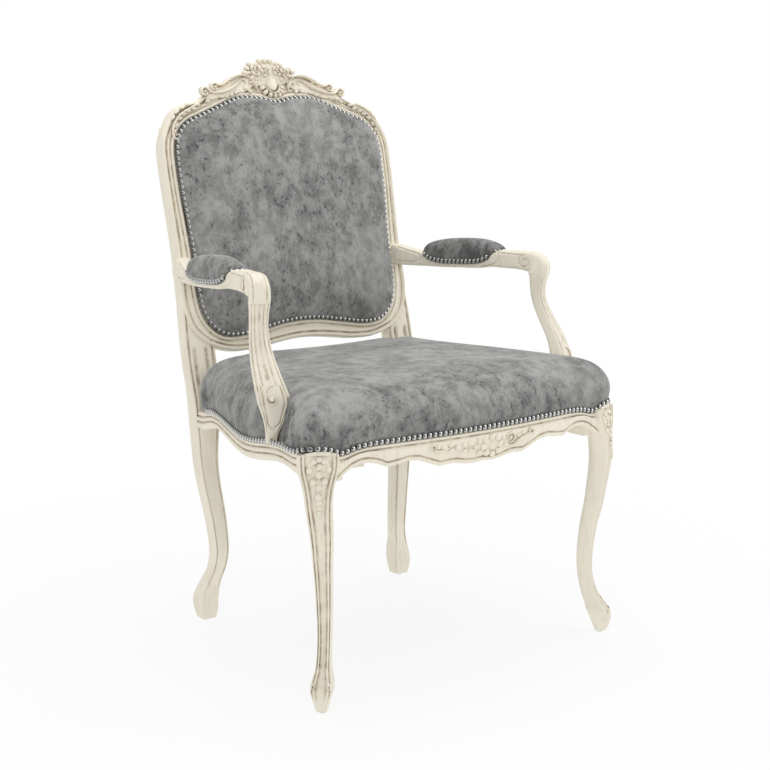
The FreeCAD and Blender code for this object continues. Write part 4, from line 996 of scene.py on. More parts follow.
def leg_line(side, count=260):
    """Centre, way across, way out, width and depth along a front leg from foot to knee."""
    diagonal = Vector((1, -1)).normalized()
    stations = []
    for z, sweep, width, depth, turn in FRONT_LEG_STATIONS:
        stations.append((FRONT_FOOT[0] + diagonal.x * sweep, FRONT_FOOT[1] + diagonal.y * sweep,
                         z, width, depth, turn))
    line = []
    for x, y, z, width, depth, turn in smooth_line(stations, count):
        angle = math.radians(turn)
        y += KNEE_SETBACK * smoothstep(0.28, 0.39, z)
        x += KNEE_SPREAD * smoothstep(0.26, 0.39, z)
        across = Vector((math.cos(angle), side * math.sin(angle), 0))
        out = Vector((side * math.sin(angle), -math.cos(angle), 0))
        line.append((at(side * x, y, z), across, out, width, depth))
    return line


# Across the front of the leg, from an edge inwards: distance, sink, glaze.
LEG_FRONT = (
    (0.0, 0.003, 0), (0.0008, 0.001, 0), (0.0018, 0.0, 0), (0.0032, 0.0004, 0.1),
    (0.004, 0.003, 1.0), (0.0052, 0.0034, 1.0), (0.0062, 0.0008, 0.2), (0.0078, 0.0002, 0),
    (0.0092, 0.001, 0.1), (0.0101, 0.0044, 1.0), (0.0116, 0.0048, 1.0), (0.0134, 0.0036, 0.3),
    (0.0165, 0.003, 0.05), (0.0205, 0.0026, 0), (0.0245, 0.0024, 0))
# Round the rest of it: shares of the half width and of the depth back from the front.
LEG_REST = ((1.0, 0.32), (1.0, 0.6), (0.93, 0.84), (0.7, 0.97), (0.35, 1.0), (0.0, 1.0),
            (-0.35, 1.0), (-0.7, 0.97), (-0.93, 0.84), (-1.0, 0.6), (-1.0, 0.32))


def leg_bow(share, depth, z):
    """How far the front of a leg bows out at a share of its half width."""
    bow = 0.1 * depth * (1 - share ** 2) - 0.16 * depth * share ** 4
    return bow * (0.15 + 0.85 * (1 - smoothstep(0.3, 0.38, z)))


def front_leg_rows(side):
    """Sections of a front leg from foot to knee, and their glaze."""
    rows, shades = [], []
    for centre, across, out, width, depth in leg_line(side, 300):
        half = width / 2
        z = centre.z
        carved = smoothstep(0.012, 0.045, z)
        shrink = min(1.0, half / 0.019)
        top = smoothstep(0.395, 0.4212, z) ** 0.5
        front = []
        for distance, sink, glaze in LEG_FRONT:
            place = half - min(distance * shrink, half * 0.97)
            hollow = 0.48 * (1 - smoothstep(0.22, 0.34, z)) if distance > 0.013 else 0.0
            front.append((place, sink * carved * min(1.0, 0.55 + 0.45 * shrink),
                          max(glaze, hollow) * carved))
        edge = [(-p, s, g) for p, s, g in front] + [(0.0, front[-1][1], front[-1][2])]
        edge += [(p, s, g) for p, s, g in reversed(front)]
        row, shade = [], []
        for place, sink, glaze in edge:
            share = place / half
            row.append(centre + across * place + out * (depth / 2 - sink + leg_bow(share, depth, z))
                       - Vector((0, 0, KNEE_DROP * share ** 2 * top)))
            shade.append(glaze)
        for a, b in LEG_REST:
            row.append(centre + across * (a * half) + out * (depth * (0.5 - b))
                       - Vector((0, 0, KNEE_DROP * a * a * top)))
            shade.append(0.0)
        rows.append(row)
        shades.append(shade)
    return rows, shades


def leg_surface(side):
    """Places on the front of a leg: across it, up it and out of it."""
    line = leg_line(side)
    heights = np.array([row[0].z for row in line])

    def lay(u, v, h):
        centre, across, out, width, depth = line[int(np.argmin(np.abs(heights - v)))]
        bow = leg_bow(min(1.0, 2 * abs(u) / width), depth, v)
        place = centre + across * (side * u) + out * (depth / 2 - LEG_CARVING_SINK + bow + h)
        return Vector((place.x, place.y, v))
    return lay


# The knee's carving: grounds and husks, as place across and up and half sizes across and up, and
# the drilled eyes between the husks.
KNEE_GROUNDS = ((0.0, 0.396, 0.019, 0.017), (0.0, 0.371, 0.0135, 0.012),
                (0.0, 0.34, 0.0066, 0.02))
KNEE_HUSKS = (
    (-0.0085, 0.4055, 0.0062, 0.005), (0.0085, 0.4055, 0.0062, 0.005), (0.0, 0.4085, 0.0052, 0.005),
    (-0.0145, 0.3925, 0.0056, 0.006), (0.015, 0.3925, 0.0056, 0.006), (0.0, 0.3975, 0.0068, 0.006),
    (0.0, 0.385, 0.0072, 0.0068), (-0.009, 0.3745, 0.0058, 0.0062),
    (0.0085, 0.3745, 0.0058, 0.0062), (0.0, 0.366, 0.0052, 0.0056), (0.0, 0.352, 0.0064, 0.0066),
    (0.0, 0.343, 0.0056, 0.0052), (0.0, 0.335, 0.0048, 0.0048), (0.0, 0.327, 0.0042, 0.0048))
KNEE_EYES = ((-0.0045, 0.3885), (-0.0045, 0.3795), (0.0052, 0.4), (-0.004, 0.356),
             (0.006, 0.38))


def carve_leg(bm, side):
    lay = leg_surface(side)
    for table, height, shade, fine in ((KNEE_GROUNDS, 0.0012, 0.3, 20),
                                       (KNEE_HUSKS, 0.005, 0.0, 14)):
        for u, v, wide, tall in table:
            lump(bm, lay, (u, v), (wide, tall, height), shade=shade, fine=fine)
    for spot in KNEE_EYES:
        lump(bm, lay, spot, (0.0017, 0.0017, 0.0016), 0, 0.004, shade=1.0, fine=8)
    # The curled toe, with a drilled eye each side
    for way in (-1, 1):
        stroke(bm, lay, [(way * 0.0035, 0.076), (way * 0.007, 0.064), (way * 0.0105, 0.053),
                         *spiral((way * 0.0112, 0.044), 90 - way * 10, 0.005, 0.9, -way)],
               0.0014, 0.0036, head=0.6)
        lump(bm, lay, (way * 0.0112, 0.0435), (0.0026, 0.0028, 0.002), 0, 0.0026, shade=1.0,
             fine=8)


def square_block(bm, middle, size):
    """An upright block with its edges eased."""
    block = bmesh.ops.create_cube(bm, size=1.0)["verts"]
    bmesh.ops.scale(bm, vec=size, verts=block)
    bmesh.ops.translate(bm, vec=middle, verts=block)
    edges = dict.fromkeys(edge for vert in block for edge in vert.link_edges)
    bmesh.ops.bevel(bm, geom=list(edges), offset=0.0012, offset_type="OFFSET", affect="EDGES",
                    segments=2, profile=0.5, material=-1)


# Arms and posts

def axes(yaw, pitch=0.0):
    """Ahead, across and up for a section that is turned outwards and tipped down, in degrees."""
    a, p = math.radians(yaw), math.radians(pitch)
    ahead = Vector((math.sin(a), -math.cos(a), 0))
    across = Vector((math.cos(a), math.sin(a), 0))
    return ahead, across, ahead * math.sin(p) + Vector((0, 0, math.cos(p)))


def tube_rows(stations, yaws, around=120, fullness=5.0):
    """Rounded sections swept along stations of place, pitch, thickness and width."""
    turns = 2 * math.pi * np.arange(around) / around
    shares = [np.copysign(np.abs(part) ** (2 / fullness), part)
              for part in (np.cos(turns), np.sin(turns))]
    rows = []
    for (y, x, z, pitch, thick, wide), yaw in zip(stations, yaws):
        _, across, up = axes(yaw, pitch)
        rows.append([at(x, y, z) + across * (c * wide / 2) + up * (s * thick / 2)
                     for c, s in zip(*shares)])
    return rows


@functools.cache
def arm_line(count=400):
    """Stations along the left arm and its yaw at each."""
    stations = smooth_line(ARM_STATIONS, count)
    slope = np.degrees(np.arctan2(np.gradient(stations[:, 1]), -np.gradient(stations[:, 0]) + 1e-9))
    for _ in range(20):
        slope = np.convolve(np.pad(slope, 1, mode="edge"), (0.25, 0.5, 0.25), mode="valid")
    front = np.array([smoothstep(-0.03, -0.072, s[0]) if s[3] < 5 else 1.0 for s in stations])
    return stations, slope * (1 - front) + POST_TURN * front


@functools.cache
def post_line(count=260):
    """Stations down the left post and its yaw at each."""
    stations = [(y, x, z, 90.0, depth, width) for z, x, y, width, depth in POST_STATIONS]
    return smooth_line(stations, count), np.full(count, float(POST_TURN))


def rim(share):
    """How full a rounded section still is at a share of its half width."""
    return (1 - min(0.98, share) ** 5) ** 0.2


def arm_side(side, outer):
    """Places on an arm's side face: along it from back to front, up it and out of it."""
    stations, yaws = arm_line()

    def lay(u, v, h):
        index = int(np.argmin(np.abs(stations[:, 0] - u) + (stations[:, 3] > 20)))
        _, x, z, _, thick, wide = stations[index]
        fall = 0.5 * wide * (1 - rim(abs(v - z) / (thick / 2)))
        return on_side(at(x, u, v) + axes(yaws[index])[1] * (outer * (wide / 2 - fall + h)), side)
    return lay


def post_face(side):
    """Places on the front face of a post: across it, up it and out of it."""
    stations, _ = post_line()
    ahead, across, _ = axes(POST_TURN)

    def lay(u, v, h):
        y, x, _, _, depth, width = stations[int(np.argmin(np.abs(stations[:, 2] - v)))]
        out = depth / 2 * rim(abs(2 * u / width)) + h
        return on_side(at(x, y, v) + across * u + ahead * out, side)
    return lay


def traced(lay, path, count):
    return [lay(u, v, 0.0) for u, v in smooth_line(path, count)]


# Lines engraved in the arm's side faces: place along and height, and how finely they are traced.
ARM_LINES = (
    (((0.01, 0.6735), (0.006, 0.664), (0.014, 0.654), (0.03, 0.648), (0.048, 0.6445)),
     90),
    (((0.01, 0.6735), (-0.01, 0.6728), (-0.03, 0.6722), (-0.048, 0.6725)), 70),
    (((0.262, 0.668), (0.235, 0.662), (0.212, 0.6565), (0.206, 0.65), (0.22, 0.642),
      (0.245, 0.64), (0.262, 0.64)), 110),
    (tuple(spiral((-0.048, 0.6605), 85, 0.0128, 1.45)), 170))
# Reeds over the arm's front: shares of its half width, and where along the arm they begin.
ARM_REEDS = (-0.62, -0.2, 0.22, 0.64)
ARM_REEDS_BEHIND = -0.012
# Reeds of a post: share of its half width and the height where it stops; then the two lines that
# meet below the volute.
POST_REEDS = ((-0.84, 0.426), (-0.42, 0.506), (0.02, 0.514), (0.46, 0.506), (0.84, 0.426))
VOLUTE_LINES, VOLUTE_POINT = (-0.62, 0.62), (0.0, 0.436)


def engrave_arm(bm, side):
    for outer in (1, -1):
        lay = arm_side(side, outer)
        engrave(bm, [traced(lay, *line) for line in ARM_LINES], depth=0.0018, width=0.0014)
    paths = [[] for _ in ARM_REEDS]
    for (y, x, z, pitch, thick, wide), yaw in zip(*arm_line()):
        if y > ARM_REEDS_BEHIND:
            continue
        _, across, up = axes(yaw, pitch)
        for path, share in zip(paths, ARM_REEDS):
            path.append(on_side(at(x, y, z) + across * (share * wide / 2) + up * (thick / 2),
                                side))
    engrave(bm, paths, depth=0.0016, width=0.0013)


def engrave_post(bm, side):
    lay = post_face(side)
    stations, _ = post_line()
    half = lambda v: np.interp(v, stations[::-1, 2], stations[::-1, 5]) / 2
    paths = []
    for share, low in POST_REEDS:
        path = [(share * half(v), v) for v in np.arange(0.644, low, -0.004)]
        paths.append(traced(lay, path, 260))
    for share in VOLUTE_LINES:
        path = [(share * half(v), v) for v in np.arange(0.506, 0.442, -0.004)]
        paths.append(traced(lay, path + [VOLUTE_POINT], 160))
    engrave(bm, paths, depth=0.002, width=0.0013)


def carve_post(bm, side):
    """The volute on a post's foot."""
    lay = post_face(side)
    stroke(bm, lay, [(-0.006, 0.509), (0.003, 0.506), (0.011, 0.499),
                     *spiral((0.003, 0.487), 40, 0.0108, 1.15)], 0.0018, 0.0044, head=0.7)
    lump(bm, lay, (0.003, 0.487), (0.005, 0.005, 0.0052), 0, 0.0005)


# Upholstery

# The seat cushion's side: distance in from the nail line, share of the way up to the crown.
SEAT_PROFILE = (
    (0.006, -0.075), (-0.0006, -0.05), (-0.0016, 0.0), (-0.003, 0.08), (-0.0042, 0.17),
    (-0.005, 0.26), (-0.0046, 0.35), (-0.0025, 0.44), (0.0012, 0.53), (0.0065, 0.62),
    (0.0135, 0.71), (0.0225, 0.79), (0.0335, 0.86), (0.047, 0.912), (0.064, 0.95), (0.085, 0.975),
    (0.112, 0.99), (0.148, 1.0))
# How far back the cushion follows the nail line, and its plan behind that, round the stiles.
CUSHION_TURN = 0.196
SEAT_REAR = (
    (0.246, 0.2), (0.243, 0.214), (0.23, 0.221), (0.205, 0.222), (0.195, 0.227), (0.192, 0.236),
    (0.184, 0.2405), (0.15, 0.241), (0.08, 0.241), (0.0, 0.241))


def seat_plan(count):
    """The whole outline of the cushion at its nail line, and the height of its lower edge."""
    half = [(*PLAN[i], nail_height(PLAN_RUN[i] - PLAN_MIDDLE))
            for i in range(PLAN_CENTRE, PLAN_COUNT, 6) if PLAN[i, 1] < CUSHION_TURN]
    low = half[-1][2]
    half += [(x, y, low) for x, y in SEAT_REAR]
    whole = half + [(-x, y, z) for x, y, z in reversed(half[1:-1])]
    return smooth_line(whole, count, closed=True)


# The part of the cushion that an arm post can press in: least place across, then ranges of
# height and of place along.
POST_ZONE = (0.25, (0.4, 0.53), (-0.19, -0.03))


def around_posts(spot):
    """Press a point of the cushion in where an arm post stands against it."""
    side = 1 if spot.x > 0 else -1
    x, y, z = side * spot.x, spot.y - FEET_MIDDLE, spot.z
    inner, heights, depths = POST_ZONE
    if x < inner or not (heights[0] <= z <= heights[1] and depths[0] < y < depths[1]):
        return spot
    table = np.array(POST_STATIONS[::-1])
    px, py, width, depth = (np.interp(z, table[:, 0], table[:, k]) for k in (1, 2, 3, 4))
    a = math.radians(POST_TURN)
    across = (x - px) * math.cos(a) + (y - py) * math.sin(a)
    ahead = (x - px) * math.sin(a) - (y - py) * math.cos(a)
    near = 1 - smoothstep(width / 2 - 0.003, width / 2 + 0.01, abs(across))
    near *= smoothstep(0.404, 0.418, z)
    limit = px - depth / 2 / math.cos(a) - (y - py) * math.tan(a) * 0.4 - 0.0015
    reach = max(0.0, x - limit) * near * smoothstep(-0.035, -0.012, ahead + depth / 2)
    return Vector((spot.x - side * reach, spot.y, spot.z))


def domed_rows(line, ways, profile, middle, pull, lay, centre, rings=26):
    """Rings of a cushion: square to its outline near the edge and drawn to the middle further in,
    as far as its profile goes, then over the crown to the centre."""
    rows = []
    for inward, rise in profile:
        share = smoothstep(0.004, 0.06, inward)
        radial = unit(middle - line)
        places = line + (-ways * (1 - share) + radial * share * pull) * inward
        rows.append([lay(i, place, rise) for i, place in enumerate(places)])
    last = rows[-1]
    for k in range(1, rings):
        rows.append([centre + (spot - centre) * (1 - k / rings) for spot in last])
    return rows


def seat_rows(crown):
    plan = seat_plan(420)
    line, lows = plan[:, :2], plan[:, 2]
    lay = lambda i, place, rise: around_posts(at(*place, lows[i] + rise * (crown - lows[i])))
    return domed_rows(line, outward(line, -1, 6), smooth_line(SEAT_PROFILE, 46),
                      np.array([0.0, 0.0]), 1.06, lay, at(0, 0, crown + 0.0012))


# The back cushion's side: distance in from the nail line, distance out of the front plane.
BACK_PROFILE = (
    (0.004, -0.005), (-0.0012, -0.004), (-0.0016, 0.0), (-0.0004, 0.0034), (0.002, 0.0066),
    (0.0055, 0.0098), (0.01, 0.0127), (0.017, 0.0158), (0.027, 0.019), (0.04, 0.0217),
    (0.058, 0.0243), (0.083, 0.0262), (0.11, 0.027))


def back_rows(crown):
    line = outline(PANEL_SHARES, 380)
    lay = lambda i, place, rise: on_back(*place, rise * crown / BACK_CROWN)
    return domed_rows(line, outward(line), smooth_line(BACK_PROFILE, 34),
                      np.array([0.0, BACK_MIDDLE]), 1.05, lay,
                      on_back(0, BACK_MIDDLE, crown + 0.0006))


def arm_middle(y):
    """How far out the middle of an arm lies at a place along it."""
    return piecewise(ARM_STATIONS[:-1], y)


def pad_rows(side, around=44):
    """Sections of an arm's pad from back to front."""
    rows = []
    for y, low, _, top, half in smooth_line([(y, z, 0, t, w) for y, z, t, w in PAD_STATIONS], 90):
        row = []
        for turn in math.pi * np.linspace(1.12, -0.12, around):
            c, s = math.cos(turn), math.sin(turn)
            x = arm_middle(y) + math.copysign(abs(c) ** 0.62, c) * half * (1 if s > 0 else 0.96)
            z = low + (top - low) * max(s, 0) ** 0.72 + min(s, 0) * 0.012
            row.append(at(side * x, y, z))
        rows.append(row)
    return rows


# The way the side of each nail head with a painted dark reflection faces, and how flat the heads
# are.
NAIL_PAINTED_DARK_SIDE = Vector((-0.62, -0.75, 0.24)).normalized()
NAIL_FLATNESS = 0.62
# How far out of the back's front plane and of the seat's nail line the heads are driven, and
# how far the cloths lie off the back of the frame and above the low side of the dust cover.
BACK_NAILS_OUT = 0.0034
SEAT_NAILS_OUT = 0.004
CLOTH_LIFT = 0.0012
DUST_COVER_LIFT = 0.0003


def nail_head(bm, place, out, radius):
    """A domed nail head that faces out from where it is driven."""
    out = Vector(out).normalized()
    turned = out.to_track_quat("Z", "Y").to_matrix().to_4x4()
    turned.translation = place
    matrix = turned @ Matrix.Diagonal((1.0, 1.0, NAIL_FLATNESS, 1.0))
    made = bmesh.ops.create_uvsphere(bm, u_segments=9, v_segments=6, radius=radius, matrix=matrix)
    layer = bm.verts.layers.float[GLAZE]
    for vert in made["verts"]:
        arm = vert.co - place
        rise = arm.dot(out)
        facing = (arm + out * rise * 1.6).normalized().dot(NAIL_PAINTED_DARK_SIDE)
        # painted shade round the rim where a head meets the cloth, and a painted dark reflection on
        # the side that faces one fixed way
        vert[layer] = max(smoothstep(0.26, -0.04, rise / radius),
                          0.92 * smoothstep(0.8, 0.96, facing))


def evenly(points, pitch):
    """Places at an even pitch along a line of points."""
    run = run_along(points)
    count = max(2, int(round(run[-1] / pitch)))
    return sampled(points, run, (np.arange(count) + 0.5) * run[-1] / count)


# What a user can change

class ArmchairSizes(bpy.types.PropertyGroup):
    seat_crown: FloatProperty(name="Seat crown", description="Height of the top of the seat",
                              default=SEAT_CROWN, unit="LENGTH")
    back_crown: FloatProperty(name="Back crown", default=BACK_CROWN, unit="LENGTH",
                              description="How far the back cushion stands out of its frame")
    nail_radius: FloatProperty(name="Nail radius", description="Radius of a nail head",
                               default=0.0047, unit="LENGTH")
    nail_pitch: FloatProperty(name="Nail pitch", default=0.0102, unit="LENGTH",
                              description="Distance from one nail to the next")


class ArmchairColours(bpy.types.PropertyGroup):
    paint: FloatVectorProperty(name="Paint", description="Colour of the paint", subtype="COLOR",
                               default=(0.868, 0.812, 0.682))
    glaze: FloatVectorProperty(name="Glaze", subtype="COLOR", default=(0.3, 0.214, 0.122),
                               description="Colour of the glaze left in the grooves")
    velvet_light: FloatVectorProperty(name="Velvet, light", subtype="COLOR",
                                      default=(0.385, 0.385, 0.376),
                                      description="Colour of the velvet where its nap lies flat")
    velvet_dark: FloatVectorProperty(name="Velvet, dark", subtype="COLOR",
                                     default=(0.1, 0.1, 0.098),
                                     description="Colour of the velvet where its nap stands up")
    nail: FloatVectorProperty(name="Nails", description="Colour of the nail heads",
                              subtype="COLOR", default=(0.64, 0.64, 0.63))


class BuildOperator:
    """Shared by all the operators: each makes its pieces and then says that it is done."""
    bl_options = {"REGISTER", "UNDO"}

    def execute(self, context):
        self.build(context.scene.armchair_sizes)
        return {"FINISHED"}


class ARMCHAIR_OT_back_frame(BuildOperator, bpy.types.Operator):
    """Make the carved crest rail and the moulded bottom rail of the back"""
    bl_idname = "armchair.back_frame"
    bl_label = "Back frame"

    def build(self, sizes):
        bm = new_mesh()
        stretch_of_frame(bm, lambda x, z: z > CREST_JOINT)
        carve_crest(bm)
        wooden_piece(bm, "carved_crest_rail", "crest_rail")
        bm = new_mesh()
        stretch_of_frame(bm, in_bottom_rail)
        wooden_piece(bm, "moulded_bottom_rail", "back_bottom_rail")


class ARMCHAIR_OT_rear_legs(BuildOperator, bpy.types.Operator):
    """Make the rear legs with their stiles"""
    bl_idname = "armchair.rear_legs"
    bl_label = "Rear legs"

    def build(self, sizes):
        rows, shades = rear_leg_rows()
        for side, name in SIDES:
            bm = new_mesh()
            stretch_of_frame(bm, lambda x, z: z <= CREST_JOINT and side * x > 0
                             and not in_bottom_rail(x, z))
            skin(bm, rows if side > 0 else mirror_x(rows), shades)
            wooden_piece(bm, f"fluted_rear_leg_{name}", f"rear_leg_{name}")


class ARMCHAIR_OT_front_legs(BuildOperator, bpy.types.Operator):
    """Make the cabriole front legs with their panelled knees"""
    bl_idname = "armchair.front_legs"
    bl_label = "Front legs"

    def build(self, sizes):
        for side, name in SIDES:
            bm = new_mesh()
            skin(bm, *front_leg_rows(side))
            bmesh.ops.recalc_face_normals(bm, faces=bm.faces)
            lay = leg_surface(side)
            arch = [lay(u, 0.4135 - 4.5 * u * u, 0.0) for u in np.linspace(-0.027, 0.027, 60)]
            engrave(bm, [arch], depth=0.0018, width=0.0012)
            square_block(bm, at(side * POST_PLACE[0], POST_PLACE[1], (POST_LOW + RAIL_DECK) / 2),
                         (POST_SIZE, POST_SIZE, RAIL_DECK - POST_LOW))
            carve_leg(bm, side)
            wooden_piece(bm, f"carved_front_leg_{name}", f"front_leg_{name}")


class ARMCHAIR_OT_seat_rails(BuildOperator, bpy.types.Operator):
    """Make the front rail with its carved apron and the reeded side rails"""
    bl_idname = "armchair.seat_rails"
    bl_label = "Seat rails"

    def build(self, sizes):
        end = distance_where(0, FRONT_RAIL_END)
        bm = new_mesh()
        low = lambda x, y: piecewise(FRONT_UNDERSIDE, abs(x))
        skin(bm, *rail_rows(low, FRONT_RAIL_SECTION, np.linspace(-end, end, 230)))
        carve_apron(bm)
        wooden_piece(bm, "carved_front_rail", "front_seat_rail")
        low = lambda x, y: piecewise(SIDE_UNDERSIDE, y)
        for side, name in SIDES:
            bm = new_mesh()
            ends = [distance_where(1, y, side) for y in (SIDE_RAIL_FRONT, SIDE_RAIL_BACK)]
            skin(bm, *rail_rows(low, SIDE_RAIL_SECTION, np.linspace(*ends, 200)))
            wooden_piece(bm, f"reeded_side_rail_{name}", f"side_seat_rail_{name}")


class ARMCHAIR_OT_arms(BuildOperator, bpy.types.Operator):
    """Make the scrolled arms and the reeded posts that carry them"""
    bl_idname = "armchair.arms"
    bl_label = "Arms and posts"

    def build(self, sizes):
        for side, name in SIDES:
            for kind, label, line, carvings in (
                    ("arm", "scrolled_arm", arm_line(), (engrave_arm,)),
                    ("arm_post", "reeded_arm_post", post_line(), (engrave_post, carve_post))):
                rows = tube_rows(*line)
                bm = new_mesh()
                skin(bm, rows if side > 0 else mirror_x(rows))
                bmesh.ops.recalc_face_normals(bm, faces=bm.faces)
                for carve in carvings:
                    carve(bm, side)
                wooden_piece(bm, f"{label}_{name}", f"{kind}_{name}")


class ARMCHAIR_OT_seat_cushion(BuildOperator, bpy.types.Operator):
    """Make the crowned seat cushion"""
    bl_idname = "armchair.seat_cushion"
    bl_label = "Seat cushion"

    def build(self, sizes):
        padded_piece(seat_rows(sizes.seat_crown), "seat_cushion", ["seat_foam", "seat_cover"])


class ARMCHAIR_OT_back_cushion(BuildOperator, bpy.types.Operator):
    """Make the cushion of the back"""
    bl_idname = "armchair.back_cushion"
    bl_label = "Back cushion"

    def build(self, sizes):
        padded_piece(back_rows(sizes.back_crown), "back_cushion", ["back_foam", "back_cover"])


class ARMCHAIR_OT_arm_pads(BuildOperator, bpy.types.Operator):
    """Make the pads on the arms"""
    bl_idname = "armchair.arm_pads"
    bl_label = "Arm pads"

    def build(self, sizes):
        for side, name in SIDES:
            padded_piece(pad_rows(side), f"arm_pad_{name}",
                         [f"arm_pad_foam_{name}", f"arm_pad_cover_{name}"])


class ARMCHAIR_OT_covers(BuildOperator, bpy.types.Operator):
    """Stretch the cloth over the outside of the back and under the seat"""
    bl_idname = "armchair.covers"
    bl_label = "Outside back and dust cover"

    def build(self, sizes):
        line = outline(PANEL_SHARES, 240)
        middle = np.array([0.0, BACK_MIDDLE])
        rings = [[on_back(*(middle + (spot - middle) * share), -(BACK_THICKNESS + CLOTH_LIFT))
                  for spot in line] for share in np.linspace(1.0, 0.01, 30)]
        self.stretch(rings, "outside_back_cover_cloth", "velvet", "outside_back_cover",
                     ["carved_crest_rail", "moulded_bottom_rail"])
        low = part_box("dust_cover")[0].z + DUST_COVER_LIFT
        rings = [[at(x * share, y * share * (0.88 if y < 0 else 1.0), low)
                  for x, y, _ in seat_plan(240)] for share in np.linspace(0.86, 0.01, 24)]
        self.stretch(rings, "dust_cover_cloth", "lining", "dust_cover",
                     ["carved_front_rail", "reeded_side_rail_left", "reeded_side_rail_right"])

    def stretch(self, rings, name, slot, node_name, carried_by):
        bm = new_mesh()
        skin(bm, rings, open_rim=True)
        piece = finish_piece(bm, name, slot, [node_name])


class ARMCHAIR_OT_nails(BuildOperator, bpy.types.Operator):
    """Drive the domed nails round the back, the seat and the arm pads"""
    bl_idname = "armchair.nails"
    bl_label = "Nails"

    def build(self, sizes):
        radius, pitch = sizes.nail_radius, sizes.nail_pitch
        bm = new_mesh()
        line = outline(PANEL_SHARES, 900)
        out = on_back(0, 0.7, 1.0) - on_back(0, 0.7, 0.0)
        for x, z in evenly(np.concatenate((line, line[:1])), pitch):
            nail_head(bm, on_back(x, z, BACK_NAILS_OUT), out, radius)
        finish_piece(bm, "back_nails", "nail")
        bm = new_mesh()
        rear = distance_where(1, SEAT_NAILS_REAR)
        for distance in np.arange(-rear, rear, pitch):
            spot, way, top = plan_at(distance)
            nail_head(bm, at(*(spot + way * SEAT_NAILS_OUT), top), (*way, 0.12), radius)
        finish_piece(bm, "seat_nails", "nail")
        bm = new_mesh()
        small = radius * PAD_NAIL_SHARE
        for side, _ in SIDES:
            for edge in (1, -1):
                path = [(arm_middle(y) + edge * (half + 0.0004), y, low + 0.0008)
                        for y, low, top, half in PAD_STATIONS[1:-1]]
                for x, y, z in evenly(smooth_line(path, 200), pitch):
                    nail_head(bm, at(side * x, y, z), (side * edge, -0.12, 0.25), small)
            for (y, low, top, half), way in ((PAD_STATIONS[0], 1), (PAD_STATIONS[-1], -1)):
                for share in (-0.648, 0.0, 0.648):
                    place = at(side * (arm_middle(y) + share * half), y + way * 0.002,
                               low + 0.0016)
                    nail_head(bm, place, (0, way, 0.7), small)
        finish_piece(bm, "arm_pad_nails", "nail")


# How the parts that keep their own shapes are finished.
INNER_FINISHES = {
    "painted_wood": ("rear_seat_rail", "front_corner_blocks", "crest_dowels"),
    "bare_wood": ("rear_corner_blocks", "back_rail_dowels", "arm_dowels", "arm_post_dowels"),
    "steel": ("corner_block_screws", "arm_screws"),
    "webbing": ("seat_straps", "back_straps"),
    "glide": ("foot_glides",),
}


class ARMCHAIR_OT_inner_frame(BuildOperator, bpy.types.Operator):
    """Give the parts that stay as they are their finishes"""
    bl_idname = "armchair.inner_frame"
    bl_label = "Inner parts"

    def build(self, sizes):
        for slot, names in INNER_FINISHES.items():
            for name in names:
                part = bpy.data.objects[name]
                part.data.materials.clear()
                part.data.materials.append(finish(slot))


# The stage: place, size and power of each lamp, then the camera's place, aim and lens. The world
# lights the chair less than the white it shows to the camera.
LAMPS = {
    "key_light": ((-2.2, -1.7, 2.7), 1.5, 14.0),
    "side_light": ((2.6, -1.6, 1.9), 2.0, 24.0),
    "top_light": ((0.2, 0.4, 3.2), 2.0, 28.0),
}
LAMP_AIM = Vector((0, 0, 0.5))
CAMERA_PLACE = at(-1.5778, -2.0706, 0.934)
CAMERA_AIM = at(0.0, 0.0, 0.4541)
CAMERA_LENS = 69.72
CAMERA_SENSOR = 36.0
CAMERA_SHIFT = 0.0024
WORLD_STRENGTH = 0.7
WHITE = (1.0, 1.0, 1.0)
FLOOR_SIZE = 8.0
# Distances over which the floor turns white, and how white it is under the chair.
FLOOR_FADE = (0.4, 1.4)
FLOOR_WHITE = 0.86


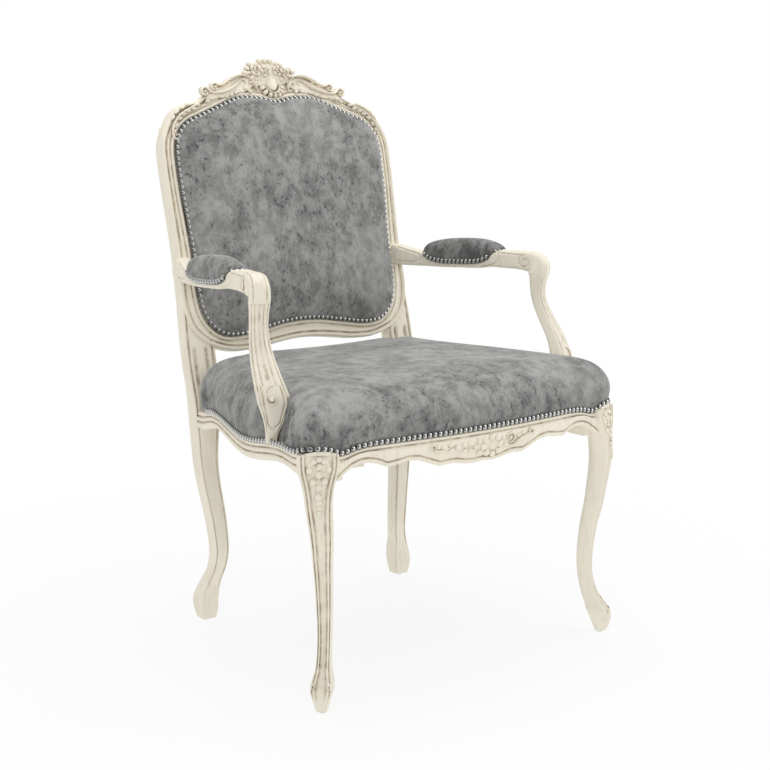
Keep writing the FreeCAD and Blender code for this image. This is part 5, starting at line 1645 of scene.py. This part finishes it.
class ARMCHAIR_OT_stage(BuildOperator, bpy.types.Operator):
    """Lay the floor, hang the lights and set up the camera"""
    bl_idname = "armchair.stage"
    bl_label = "Stage"

    def build(self, sizes):
        scene = bpy.context.scene
        bm = bmesh.new()
        bmesh.ops.create_grid(bm, x_segments=2, y_segments=2, size=FLOOR_SIZE)
        mesh = bpy.data.meshes.new("floor")
        bm.to_mesh(mesh)
        bm.free()
        floor = bpy.data.objects.new("floor", mesh)
        scene.collection.objects.link(floor)
        mesh.materials.append(self.floor_material())
        self.light_world(scene)
        for name, (place, size, power) in LAMPS.items():
            light = bpy.data.lights.new(name, "AREA")
            light.shape = "DISK"
            light.size = size
            light.energy = power
            self.hang(light, Vector(place), LAMP_AIM)
        camera = bpy.data.cameras.new("camera")
        camera.sensor_width = CAMERA_SENSOR
        camera.lens = CAMERA_LENS
        camera.shift_x = CAMERA_SHIFT
        scene.camera = self.hang(camera, CAMERA_PLACE, CAMERA_AIM)
        scene.view_settings.view_transform = "Standard"

    def hang(self, data, place, target):
        """Put a lamp or the camera at a place, facing a target."""
        holder = bpy.data.objects.new(data.name, data)
        bpy.context.scene.collection.objects.link(holder)
        holder.location = place
        holder.rotation_euler = (target - place).to_track_quat("-Z", "Y").to_euler()
        return holder

    def light_world(self, scene):
        world = bpy.data.worlds.new("studio")
        world.use_nodes = True
        scene.world = world
        tree = world.node_tree
        tree.nodes.clear()
        seen, through = (node(tree, "ShaderNodeLightPath", output=ray)
                         for ray in ("Is Camera Ray", "Is Transmission Ray"))
        lit, shown = (node(tree, "ShaderNodeBackground", {}, {"Color": WHITE, "Strength": strength})
                      for strength in (WORLD_STRENGTH, 1.0))
        output = tree.nodes.new("ShaderNodeOutputWorld")
        plug(tree, output.inputs[0], mix_shader(seen.or_more(through), lit, shown))

    def floor_material(self):
        material, shader, place = new_material("pale_floor")
        tree = place.tree
        feed(shader, Base_Color=(0.86, 0.86, 0.86), Roughness=0.9, Specular_IOR_Level=0.1)
        away = node(tree, "ShaderNodeVectorMath", {"operation": "LENGTH"}, {0: place}, output=1)
        share = away.between(*FLOOR_FADE) * (1 - FLOOR_WHITE) + FLOOR_WHITE
        mixed = mix_shader(share, Socket(tree, shader.outputs[0]),
                           node(tree, "ShaderNodeEmission"))
        plug(tree, tree.nodes["Material Output"].inputs[0], mixed)
        return material


BUILDERS = (
    ARMCHAIR_OT_back_frame, ARMCHAIR_OT_rear_legs, ARMCHAIR_OT_front_legs,
    ARMCHAIR_OT_seat_rails, ARMCHAIR_OT_arms, ARMCHAIR_OT_seat_cushion,
    ARMCHAIR_OT_back_cushion, ARMCHAIR_OT_arm_pads, ARMCHAIR_OT_covers, ARMCHAIR_OT_nails,
    ARMCHAIR_OT_inner_frame, ARMCHAIR_OT_stage)


class ARMCHAIR_PT_panel(bpy.types.Panel):
    """The armchair's sizes, colours and pieces"""
    bl_label = "Armchair"
    bl_idname = "ARMCHAIR_PT_panel"
    bl_space_type = "VIEW_3D"
    bl_region_type = "UI"
    bl_category = "Armchair"

    def draw(self, context):
        for group in (context.scene.armchair_sizes, context.scene.armchair_colours):
            for key in group.__annotations__:
                self.layout.prop(group, key)
        for builder in BUILDERS:
            self.layout.operator(builder.bl_idname)


CLASSES = (ArmchairSizes, ArmchairColours) + BUILDERS + (ARMCHAIR_PT_panel,)


def register():
    for item in CLASSES:
        bpy.utils.register_class(item)
    bpy.types.Scene.armchair_sizes = PointerProperty(type=ArmchairSizes)
    bpy.types.Scene.armchair_colours = PointerProperty(type=ArmchairColours)


def unregister():
    del bpy.types.Scene.armchair_colours
    del bpy.types.Scene.armchair_sizes
    for item in reversed(CLASSES):
        bpy.utils.unregister_class(item)


def main():
    register()
    for builder in BUILDERS:
        group, name = builder.bl_idname.split(".")
        getattr(getattr(bpy.ops, group), name)()


if __name__ == "__main__":
    main()
